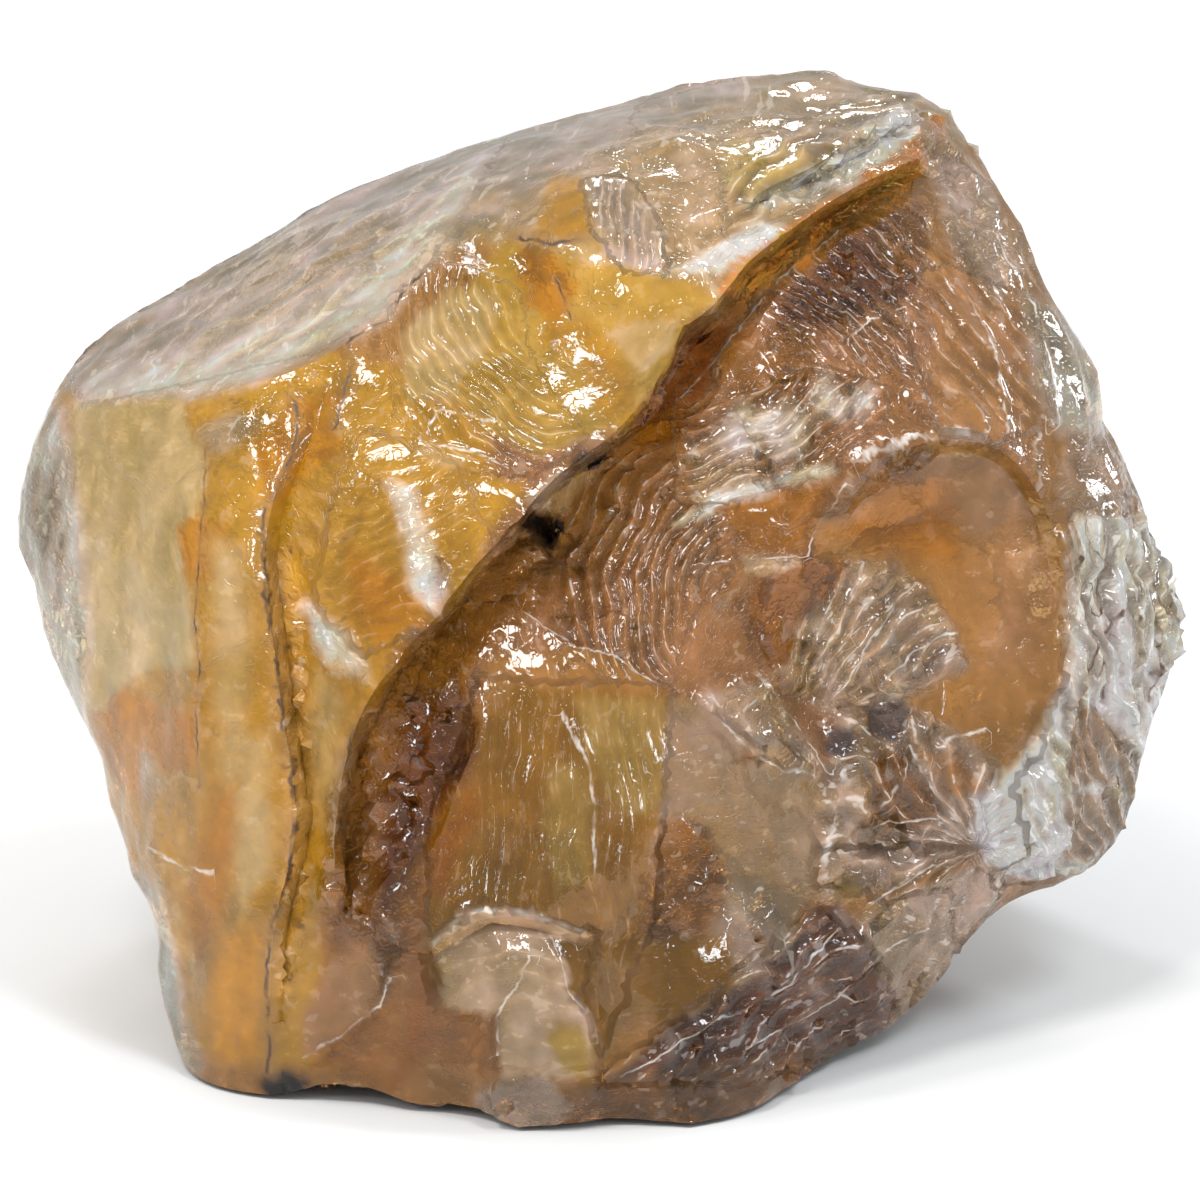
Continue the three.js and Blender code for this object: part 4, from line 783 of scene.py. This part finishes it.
def relief_tree():
    """Geometry nodes that lay the ripples, scallops, flakes and hackle over the stone's skin."""
    tree = bpy.data.node_groups.new("fracture_relief", "GeometryNodeTree")
    tree.is_modifier = True
    sockets = tree.interface
    sockets.new_socket("Geometry", in_out="INPUT", socket_type="NodeSocketGeometry")
    for name in ("Ripple Depth", "Ripple Spacing", "Scallop Depth", "Scallop Size", "Flake Depth",
                 "Flake Size", "Hackle Depth", "Swell Depth", "Line Depth"):
        sockets.new_socket(name, in_out="INPUT", socket_type="NodeSocketFloat").subtype = "DISTANCE"
    sockets.new_socket("Stain", in_out="INPUT", socket_type="NodeSocketVector")
    sockets.new_socket("Seed", in_out="INPUT", socket_type="NodeSocketInt")
    sockets.new_socket("Quartz", in_out="INPUT", socket_type="NodeSocketMaterial")
    sockets.new_socket("Geometry", in_out="OUTPUT", socket_type="NodeSocketGeometry")

    w = Wiring(tree)
    given = w.add("NodeGroupInput", {}).outputs
    place = w.add("GeometryNodeInputPosition", {}).outputs[0]
    normal = w.add("GeometryNodeInputNormal", {}).outputs[0]

    def own(name, kind="FLOAT"):
        return w.add("GeometryNodeInputNamedAttribute", {"Name": name}, data_type=kind).outputs["Attribute"]

    seed = given["Seed"]
    mm = w.vector("SCALE", place, scale=1 / MM)
    slow = w.noise(mm, 0.22, 1.0, seed=seed).outputs["Fac"]
    middling = w.noise(mm, 0.55, 2.0, seed=seed)
    bent = w.vector("SCALE", w.vector("SUBTRACT", middling.outputs["Color"], (0.5, 0.5, 0.5)), scale=BEND)
    bent_place = w.vector("ADD", mm, bent)

    spacing = w.math("DIVIDE", given["Ripple Spacing"], MM)
    lag = w.math("MULTIPLY", slow, RIPPLE_LAG)
    beat = w.math("ADD", w.math("DIVIDE", own("way"), spacing), lag)
    swing = w.math("ABSOLUTE", w.math("SINE", w.math("MULTIPLY", beat, math.pi)))
    crest = w.math("SUBTRACT", 1.0, w.math("POWER", swing, CREST_SHAPE))
    lulls = w.noise(mm, 0.42, 2.0, seed=w.math("ADD", seed, 5.0)).outputs["Fac"]
    patchy = w.step(lulls, 0.36, 0.6, 0.12, 1.0)
    ripple = w.math("MULTIPLY", w.math("MULTIPLY", crest, patchy),
                    w.math("MULTIPLY", own("fan"), given["Ripple Depth"]))

    scallop_cells = w.add("ShaderNodeTexVoronoi", {
        "Vector": bent_place, "W": seed, "Scale": w.math("DIVIDE", MM, given["Scallop Size"])},
        voronoi_dimensions="4D", feature="F1").outputs["Distance"]
    hollow = w.math("POWER", scallop_cells, 2.0)
    flake_share = own("flake")
    small_cells = w.add("ShaderNodeTexVoronoi", {
        "Vector": bent_place, "W": w.math("ADD", seed, 1.0),
        "Scale": w.math("DIVIDE", 2.4 * MM, given["Scallop Size"])},
        voronoi_dimensions="4D", feature="F1").outputs["Distance"]
    small = w.math("MULTIPLY", w.math("POWER", small_cells, 2.0), w.step(flake_share, 0.15, 0.9, 0.12, 0.5))
    scallop_share = w.step(flake_share, 0.05, 0.6, 0.35, 1.0)
    scallop = w.math("MULTIPLY", w.math("ADD", w.math("MULTIPLY", hollow, scallop_share), small),
                     given["Scallop Depth"])

    flat = w.vector("MULTIPLY", bent_place, (1.0, 1.0, 0.45))
    cells = w.add("ShaderNodeTexVoronoi", {
        "Vector": flat, "W": w.math("ADD", seed, 3.0), "Scale": w.math("DIVIDE", MM, given["Flake Size"])},
        voronoi_dimensions="4D", feature="F1")
    tilt = w.vector("SUBTRACT", cells.outputs["Color"], (0.5, 0.5, 0.5))
    from_cell = w.vector("SUBTRACT", flat, cells.outputs["Position"])
    slope = w.add("ShaderNodeVectorMath", {0: tilt, 1: from_cell}, operation="DOT_PRODUCT").outputs["Value"]
    flake = w.math("MULTIPLY", slope, w.step(flake_share, 0.15, 0.8))
    flake = w.math("MULTIPLY", flake, given["Flake Depth"])
    rim = w.add("ShaderNodeTexVoronoi", {
        "Vector": flat, "W": w.math("ADD", seed, 3.0), "Scale": w.math("DIVIDE", MM, given["Flake Size"])},
        voronoi_dimensions="4D", feature="DISTANCE_TO_EDGE").outputs["Distance"]
    lot = w.add("ShaderNodeSeparateXYZ", {0: tilt}).outputs[2]

    parts = w.add("ShaderNodeSeparateXYZ", {0: mm}).outputs
    swept = w.add("ShaderNodeCombineXYZ", {
        0: w.math("ADD", own("way"), slow), 1: w.math("MULTIPLY", parts[2], 0.4),
        2: w.math("MULTIPLY", parts[0], 0.4)}).outputs[0]
    grain = w.math("SUBTRACT", w.noise(swept, 1.1, 2.0, 0.6, seed=seed).outputs["Fac"], 0.5)
    hackle = w.math("MULTIPLY", w.math("MULTIPLY", grain, w.step(flake_share, 0.2, 1.0, 0.05, 1.0)),
                    given["Hackle Depth"])
    swell = w.math("MULTIPLY", w.math("SUBTRACT", slow, 0.5), given["Swell Depth"])

    groove = w.step(w.math("ABSOLUTE", own("rust")), 0.4, 1.8, 1.0, 0.0)
    groove = w.math("MULTIPLY", own("rust_share"), groove)
    ridge = w.step(w.math("ABSOLUTE", own("bright")), 0.3, 2.4, 1.0, 0.0)
    ridge = w.math("MULTIPLY", own("bright_share"), ridge)
    lines = w.math("MULTIPLY", w.math("SUBTRACT", ridge, groove), given["Line Depth"])

    height = ripple
    for part in (scallop, flake, hackle, swell, lines):
        height = w.math("ADD", height, part)
    height = w.math("MULTIPLY", height, own("off_seat"))

    drawn_out = w.vector("MULTIPLY", mm, (1.0, 1.0, 0.4))
    cloud = w.noise(drawn_out, 0.24, 4.0, 0.55, 0.8, seed=seed).outputs["Fac"]
    haze = w.noise(mm, 0.5, 4.0, 0.65, 0.8, seed=w.math("ADD", seed, 9.0)).outputs["Fac"]
    mottle = w.noise(mm, 0.8, 2.0, 0.6, seed=w.math("ADD", seed, 2.0)).outputs["Fac"]
    tall = w.vector("MULTIPLY", bent_place, (1.0, 0.7, 0.35))
    folds = w.noise(tall, 0.8, 2.0, 0.6, seed=seed).outputs["Fac"]

    def three(*values):
        return w.add("ShaderNodeCombineXYZ", dict(enumerate(values))).outputs[0]

    def about_half(value, weight):
        return w.math("MULTIPLY", w.math("SUBTRACT", value, 0.5), weight)

    veil = own("veil")
    flaky = w.step(flake_share, 0.1, 0.7, 0.2, 1.0)
    uneven = w.math("MULTIPLY", flaky, w.step(veil, 0.3, 1.0, 1.0, 0.6))
    shade = w.math("ADD", 1.0, about_half(cloud, w.math("ADD", 0.5, uneven)))
    shade = w.math("ADD", shade, about_half(haze, 0.6))
    shade = w.math("ADD", shade, about_half(mottle, w.math("MULTIPLY", uneven, 1.3)))
    shade = w.math("ADD", shade, w.math("MULTIPLY", lot, w.math("MULTIPLY", flaky, 0.5)))
    redder, bluer = about_half(haze, 0.16), about_half(cloud, 1.6)
    warmth = three(w.math("ADD", 1.0, redder), 1.0, w.math("ADD", 1.0, bluer))
    body = w.vector("SCALE", own("tint", "FLOAT_COLOR"), scale=shade)
    body = w.vector("MULTIPLY", body, warmth)
    rust_off = w.math("ABSOLUTE", w.math("ADD", own("rust"), about_half(mottle, 3.0)))
    stain = w.math("MULTIPLY", own("rust_share"), w.step(rust_off, 0.5, 7.0, 0.45, 0.0))
    stained = w.add("ShaderNodeMix", {"Factor": stain, 4: body, 5: given["Stain"]}, data_type="VECTOR")
    body = stained.outputs[1]

    milk = w.math("MULTIPLY", w.step(haze, 0.52, 0.72, 0.0, 0.7), veil)
    away = w.step(haze, 0.48, 0.60, 1.0, 0.0)
    feather = w.math("ADD", w.math("ABSOLUTE", w.math("SUBTRACT", folds, 0.5)), away)
    chipped = w.math("ADD", rim, w.step(mottle, 0.50, 0.60, 0.5, 0.0))
    clear = w.math("MULTIPLY", own("clarity"), w.step(cloud, 0.3, 0.75, 1.04, 0.73))
    rust = w.math("MULTIPLY", own("rust_share"), w.step(mottle, 0.38, 0.56, 0.15, 1.0))
    # The bright edges: partly chipped quartz and partly painted highlight along the ridges.
    bright = w.math("MULTIPLY", own("bright_share"), w.step(mottle, 0.42, 0.60, 0.05, 0.9))
    speck = w.math("MULTIPLY", own("speck"), w.step(haze, 0.4, 0.6))
    grainy = w.math("ADD", 0.25, w.math("MULTIPLY", uneven, 0.6))
    rippled = w.math("MINIMUM", own("fan"), MOST_RIPPLED)

    kept = given["Geometry"]
    for name, value in (("body", body), ("swept", swept), ("ripples", three(beat, rippled, flaky)),
                        ("veils", three(milk, feather, chipped)), ("cracks", three(own("rust"), rust, speck)),
                        ("edges", three(own("bright"), bright, veil)),
                        ("gloss", three(clear, own("rough"), grainy))):
        kept = w.add("GeometryNodeStoreNamedAttribute", {"Geometry": kept, "Name": name, "Value": value},
                     data_type="FLOAT_VECTOR", domain="POINT").outputs[0]
    moved = w.add("GeometryNodeSetPosition", {
        "Geometry": kept, "Offset": w.vector("SCALE", normal, scale=height)})
    moved = moved.outputs[0]
    for name in ("tint", "clarity", "rough", "flake", "veil", "speck", "way", "fan", "rust", "rust_share",
                 "bright", "bright_share", "off_seat"):
        moved = w.add("GeometryNodeRemoveAttribute", {"Geometry": moved, "Name": name}).outputs[0]
    real = w.add("GeometryNodeRealizeInstances", {"Geometry": moved})
    finished = w.add("GeometryNodeSetMaterial", {"Geometry": real.outputs[0], "Material": given["Quartz"]})
    w.add("NodeGroupOutput", {"Geometry": finished.outputs[0]})
    return tree


def with_relief(thing, tree, values):
    """The thing's mesh as the tree's relief leaves it."""
    modifier = thing.modifiers.new("fracture_relief", "NODES")
    modifier.node_group = tree
    for item in tree.interface.items_tree:
        if item.item_type == "SOCKET" and item.in_out == "INPUT" and item.name in values:
            modifier[item.identifier] = values[item.name]
    graph = bpy.context.evaluated_depsgraph_get()
    mesh = bpy.data.meshes.new_from_object(thing.evaluated_get(graph), preserve_all_data_layers=True,
                                           depsgraph=graph)
    thing.modifiers.remove(modifier)
    return mesh


def quartz_material(colours):
    """Quartz that its patches make clear, golden, smoky or milky, with rust in its cracks, painted shade and
    glints on its ripples, and partly painted highlights on its bright edges.
    """
    material = bpy.data.materials.new("golden_healer_quartz")
    material.use_nodes = True
    tree = material.node_tree
    tree.nodes.clear()
    w = Wiring(tree)

    def own(name):
        return w.add("ShaderNodeAttribute", {}, attribute_name=name).outputs["Vector"]

    def three(name):
        return w.add("ShaderNodeSeparateXYZ", {0: own(name)}).outputs

    beat, rippled, flaky = three("ripples")
    milky, feather, chipped = three("veils")
    rust_way, rust_cover, specks = three("cracks")
    bright_way, bright_cover, veil = three("edges")
    clear, rough, grainy = three("gloss")
    fine = w.add("ShaderNodeTexNoise", {"Vector": own("swept"), "Scale": 2.4, "Detail": 2.0,
                                        "Roughness": 0.62}, noise_dimensions="3D").outputs["Fac"]
    grain = w.math("SUBTRACT", fine, 0.5)
    swing = w.math("ABSOLUTE", w.math("SINE", w.math("MULTIPLY", beat, math.pi)))
    ripple = w.math("POWER", swing, CREST_SHAPE)

    shade = w.math("MULTIPLY_ADD", grain, grainy, 1.0)
    # Painted shade and highlight: the ripples' troughs are darkened and their crests lightened.
    painted_ripple_shade = w.math("MULTIPLY", rippled, RIPPLE_PAINTED_SHADE)
    shade = w.math("MULTIPLY_ADD", w.math("SUBTRACT", 0.4, ripple), painted_ripple_shade, shade)
    shade = w.math("MAXIMUM", w.math("MULTIPLY", shade, colours.glow), 0.15)
    body = w.vector("SCALE", own("body"), scale=shade)

    fold = w.math("ABSOLUTE", w.math("MULTIPLY_ADD", grain, 0.12, feather))
    # White flecks: chipped flake edges, feather veins and small spots. The small spots are partly chipped
    # quartz and partly painted glints.
    flecks_and_glints = w.math("MAXIMUM", w.step(chipped, 0.02, 0.10, 1.0, 0.0), w.step(fine, 0.62, 0.68))
    flecks_and_glints = w.math("MAXIMUM", flecks_and_glints, w.step(fold, 0.0, 0.02, 0.8, 0.0))
    milk = w.math("MAXIMUM", milky, w.math("MULTIPLY", flecks_and_glints, veil))
    # Painted highlight: broken white lines on the ripple crests stand in for glints.
    crest = w.math("MULTIPLY", w.step(ripple, 0.12, 0.34, CREST_PAINTED_GLINT, 0.0), w.step(fine, 0.48, 0.60))
    milk = w.math("MAXIMUM", milk, w.math("MULTIPLY", crest, rippled))
    dirt = w.math("MULTIPLY", w.step(fine, 0.31, 0.36, 1.0, 0.0), specks)

    rust_off = w.math("ABSOLUTE", w.math("MULTIPLY_ADD", grain, 5.0, rust_way))
    rust = w.math("MULTIPLY", rust_cover, w.step(rust_off, 0.35, 1.3, 1.0, 0.0))
    bright_off = w.math("ABSOLUTE", w.math("MULTIPLY_ADD", grain, 4.0, bright_way))
    # The bright edges: partly chipped quartz and partly painted highlight along the ridges.
    bright = w.math("MULTIPLY", bright_cover, w.step(bright_off, 0.1, 0.9, 1.0, 0.0))
    milk = w.math("MAXIMUM", milk, bright)
    dirt = w.math("MAXIMUM", dirt, rust)

    colour = w.mix(w.math("MULTIPLY", milk, 0.85), body, (*colours.veil, 1.0))
    colour = w.mix(dirt, colour, (*colours.rust, 1.0))
    colour = w.vector("MINIMUM", colour, (BRIGHTEST, BRIGHTEST, BRIGHTEST))
    solid = w.math("MAXIMUM", w.math("MULTIPLY", milk, 0.72), dirt)
    through = w.math("MINIMUM", w.math("MULTIPLY", clear, w.math("SUBTRACT", 1.0, solid)), 1.0)
    gloss = w.math("MULTIPLY_ADD", milk, 0.15, w.math("MULTIPLY_ADD", dirt, 0.35, rough))

    chips = w.math("ADD", w.step(fine, 0.5, 0.56), w.step(fine, 0.36, 0.42))
    height = w.math("MULTIPLY_ADD", fine, 0.15, w.math("MULTIPLY", chips, w.math("MULTIPLY", flaky, 0.35)))
    height = w.math("SUBTRACT", height, w.math("MULTIPLY", ripple, rippled))
    bump = w.add("ShaderNodeBump", {"Strength": 0.9, "Distance": BUMP_HEIGHT, "Height": height}).outputs[0]

    shader = w.add("ShaderNodeBsdfPrincipled", {
        "Base Color": colour, "Roughness": gloss, "Transmission Weight": through, "Normal": bump,
        "IOR": QUARTZ_IOR, "Specular IOR Level": 0.5})
    inside = w.add("ShaderNodeVolumeAbsorption", {
        "Color": (*colours.honey, 1.0), "Density": colours.honey_density})
    w.add("ShaderNodeOutputMaterial", {"Surface": shader.outputs[0], "Volume": inside.outputs[0]})
    return material


def floor_material(tone):
    """Smooth pale paint."""
    material = bpy.data.materials.new("pale_floor")
    material.use_nodes = True
    shader = material.node_tree.nodes["Principled BSDF"]
    shader.inputs["Base Color"].default_value = (*tone, 1.0)
    shader.inputs["Roughness"].default_value = 0.9
    shader.inputs["Specular IOR Level"].default_value = 0.1
    return material


def length(default, name, description):
    """A property that is a length in metres."""
    return FloatProperty(name=name, description=description, default=default, min=0.0, unit="LENGTH",
                         subtype="DISTANCE", precision=6)


def tone(default, name, description):
    """A property that is a linear colour."""
    return FloatVectorProperty(name=name, description=description, default=default, min=0.0, max=1.0,
                               subtype="COLOR")


class QuartzShape(bpy.types.PropertyGroup):
    """The relief of the broken stone."""

    front_edge: length(0.00086, "Front edge", "Longest edge of the skin on the front")
    back_edge: length(0.00160, "Back edge", "Longest edge of the skin behind the rim")
    fan_edge: length(0.00034, "Fan edge", "Longest edge of the skin in the fans of ripples")
    ripple_depth: length(0.00020, "Ripple depth", "Height of the ripples on the glassy breaks")
    ripple_spacing: length(0.00062, "Ripple spacing", "Distance from one ripple to the next")
    scallop_depth: length(0.00050, "Scallop depth", "Height of the edges between the shallow scallops")
    scallop_size: length(0.0042, "Scallop size", "Width of a scallop")
    flake_depth: length(0.00055, "Flake depth", "Height of the tilted flakes on the shattered parts")
    flake_size: length(0.0026, "Flake size", "Width of a flake")
    hackle_depth: length(0.00016, "Hackle depth", "Height of the fine roughness on the shattered parts")
    swell_depth: length(0.00050, "Swell depth", "Height of the slow swell of the glassy breaks")
    line_depth: length(0.00012, "Line depth", "Depth of the cracks, and height of the bright edges")
    seed: IntProperty(name="Seed", description="Start of the relief's noise", default=3, min=0)


class QuartzColours(bpy.types.PropertyGroup):
    """The colours inside and on the quartz."""

    honey: tone((0.93, 0.76, 0.45), "Honey", "Colour of light that has passed through the stone")
    honey_density: FloatProperty(
        name="Honey density", description="How soon the stone colours light, per metre", default=16.0,
        min=0.0)
    glow: FloatProperty(
        name="Glow", description="How much lighter the quartz is than its patches say, as it loses light",
        default=1.42, min=0.0)
    # The veil colour also paints the glints on the ripple crests and the fine spots, and the highlights along
    # the bright edges.
    veil: tone((0.86, 0.85, 0.82), "Veil", "Milky veils, healed cracks and chipped edges")
    rust: tone((0.085, 0.040, 0.015), "Rust", "Dirt and rust in the cracks and specks")
    stain: tone((0.32, 0.17, 0.06), "Stain", "Stained quartz beside the cracks")


class QuartzStudio(bpy.types.PropertyGroup):
    """The plain studio around the stone."""

    floor_tone: tone((0.90, 0.90, 0.895), "Floor", "Colour of the floor")
    floor_size: length(6.0, "Floor size", "Width of the floor")
    sky: FloatProperty(name="Sky", description="Strength of the light from all round", default=0.62, min=0.0)
    panel_power: FloatProperty(
        name="Panels", description="Power of a soft panel with a share of 1", default=0.62, unit="POWER",
        min=0.0)


class QUARTZ_OT_chunk(bpy.types.Operator):
    """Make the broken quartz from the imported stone"""

    bl_idname = "quartz.chunk"
    bl_label = "Quartz Chunk"

    def execute(self, context):
        shape, colours = context.scene.quartz_shape, context.scene.quartz_colours
        points, triangles, _ = worked_skin(shape)
        facing = facing_eye(points, point_normals(points, triangles))
        rows, edge, plate = painted(points, facing)
        way, fan = fan_relief(points, facing, edge, plate)
        rust, rust_share = lines_near(points, facing, RUST_LINES)
        bright, bright_share = lines_near(points, facing, BRIGHT_EDGES_AND_HIGHLIGHTS)
        values = {
            "tint": rows[:, :3], "clarity": rows[:, 3], "rough": rows[:, 4], "flake": rows[:, 5],
            "veil": rows[:, 6], "speck": rows[:, 7], "way": way, "fan": fan, "rust": rust,
            "rust_share": rust_share, "bright": bright, "bright_share": bright_share,
            "off_seat": ramp(points[:, 2], SEAT_HEIGHT, SEAT_FADE),
        }
        material = quartz_material(colours)
        skin = bpy.data.objects.new("quartz_skin", mesh_of("quartz_skin", points, triangles, values))
        context.scene.collection.objects.link(skin)
        mesh = with_relief(skin, relief_tree(), {
            "Ripple Depth": shape.ripple_depth, "Ripple Spacing": shape.ripple_spacing,
            "Scallop Depth": shape.scallop_depth, "Scallop Size": shape.scallop_size,
            "Flake Depth": shape.flake_depth, "Flake Size": shape.flake_size,
            "Hackle Depth": shape.hackle_depth, "Swell Depth": shape.swell_depth,
            "Line Depth": shape.line_depth, "Stain": tuple(colours.stain), "Seed": shape.seed,
            "Quartz": material})
        bpy.data.objects.remove(skin)
        if len(mesh.polygons) < len(triangles):
            raise RuntimeError("the relief lost faces of the stone")
        mesh.name = "broken_quartz"
        mesh.shade_smooth()
        mesh.set_sharp_from_angle(angle=SHADING_ANGLE)
        piece = bpy.data.objects.new("broken_quartz", mesh)
        context.scene.collection.objects.link(piece)
        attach(piece, "root")
        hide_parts(NODE)
        print("broken_quartz has", len(mesh.polygons), "triangles")
        return {"FINISHED"}


def soft_light(name, place, aim, size, power, colour):
    """An oblong soft light at a place, in metres, that shines on a point."""
    light = bpy.data.lights.new(name, "AREA")
    light.shape = "RECTANGLE"
    light.size, light.size_y = size
    light.energy = power
    light.color = colour
    lamp = bpy.data.objects.new(name, light)
    lamp.location = place
    lamp.rotation_euler = (Vector(aim) - Vector(place)).to_track_quat("-Z", "Y").to_euler()
    bpy.context.scene.collection.objects.link(lamp)
    return lamp


class QUARTZ_OT_studio(bpy.types.Operator):
    """Make the pale floor, the soft lights and the camera"""

    bl_idname = "quartz.studio"
    bl_label = "Studio"

    def execute(self, context):
        scene, studio = context.scene, context.scene.quartz_studio
        half = studio.floor_size / 2
        mesh = bpy.data.meshes.new("pale_floor")
        corners = [(-half, -half, 0), (half, -half, 0), (half, half, 0), (-half, half, 0)]
        mesh.from_pydata(corners, [], [(0, 1, 2, 3)])
        mesh.materials.append(floor_material(tuple(studio.floor_tone)))
        floor = bpy.data.objects.new("pale_floor", mesh)
        scene.collection.objects.link(floor)

        world = bpy.data.worlds.new("soft_sky")
        world.use_nodes = True
        sky = world.node_tree.nodes["Background"]
        sky.inputs["Color"].default_value = (1.0, 0.995, 0.985, 1.0)
        sky.inputs["Strength"].default_value = studio.sky
        world.cycles.sampling_method = "NONE"
        scene.world = world

        middle = (0.0, 0.0, 0.025)
        for number, (bearing, climb, far, size, share, colour) in enumerate(PANELS):
            turn, rise = math.radians(bearing), math.radians(climb)
            place = far * np.array([math.sin(turn) * math.cos(rise), -math.cos(turn) * math.cos(rise),
                                    math.sin(rise)])
            soft_light(f"panel_{number}", Vector(place), middle, size, share * studio.panel_power, colour)

        camera = bpy.data.cameras.new("view")
        camera.sensor_width = SENSOR_WIDTH
        camera.lens = SENSOR_WIDTH * EYE_DISTANCE / VIEW_WIDTH
        camera.clip_start = 0.01
        camera.clip_end = 20.0
        eye = bpy.data.objects.new("view", camera)
        eye.location = Vector(VIEW_MIDDLE + EYE_DISTANCE * TOWARDS) * MM
        eye.rotation_euler = (math.pi / 2 - EYE_TILT, 0.0, 0.0)
        scene.collection.objects.link(eye)
        scene.camera = eye
        scene.view_settings.view_transform = "Standard"
        scene.cycles.max_bounces = LIGHT_TURNS
        scene.cycles.transmission_bounces = LIGHT_TURNS
        scene.cycles.diffuse_bounces = 1
        scene.cycles.glossy_bounces = 2
        scene.cycles.use_light_tree = False
        scene.cycles.caustics_refractive = False
        return {"FINISHED"}


class QUARTZ_PT_panel(bpy.types.Panel):
    """Lists the pieces and their settings"""

    bl_label = "Golden Healer Quartz"
    bl_idname = "QUARTZ_PT_panel"
    bl_space_type = "VIEW_3D"
    bl_region_type = "UI"
    bl_category = "Quartz"

    def draw(self, context):
        scene = context.scene
        for settings, operator in ((scene.quartz_shape, "quartz.chunk"), (scene.quartz_colours, None),
                                   (scene.quartz_studio, "quartz.studio")):
            box = self.layout.box()
            for name in settings.__annotations__:
                box.prop(settings, name)
            if operator:
                box.operator(operator)


CLASSES = (QuartzShape, QuartzColours, QuartzStudio, QUARTZ_OT_chunk, QUARTZ_OT_studio, QUARTZ_PT_panel)


def register():
    for each in CLASSES:
        bpy.utils.register_class(each)
    bpy.types.Scene.quartz_shape = PointerProperty(type=QuartzShape)
    bpy.types.Scene.quartz_colours = PointerProperty(type=QuartzColours)
    bpy.types.Scene.quartz_studio = PointerProperty(type=QuartzStudio)


def unregister():
    del bpy.types.Scene.quartz_studio
    del bpy.types.Scene.quartz_colours
    del bpy.types.Scene.quartz_shape
    for each in reversed(CLASSES):
        bpy.utils.unregister_class(each)


def main():
    register()
    bpy.ops.quartz.chunk()
    bpy.ops.quartz.studio()


if __name__ == "__main__":
    main()
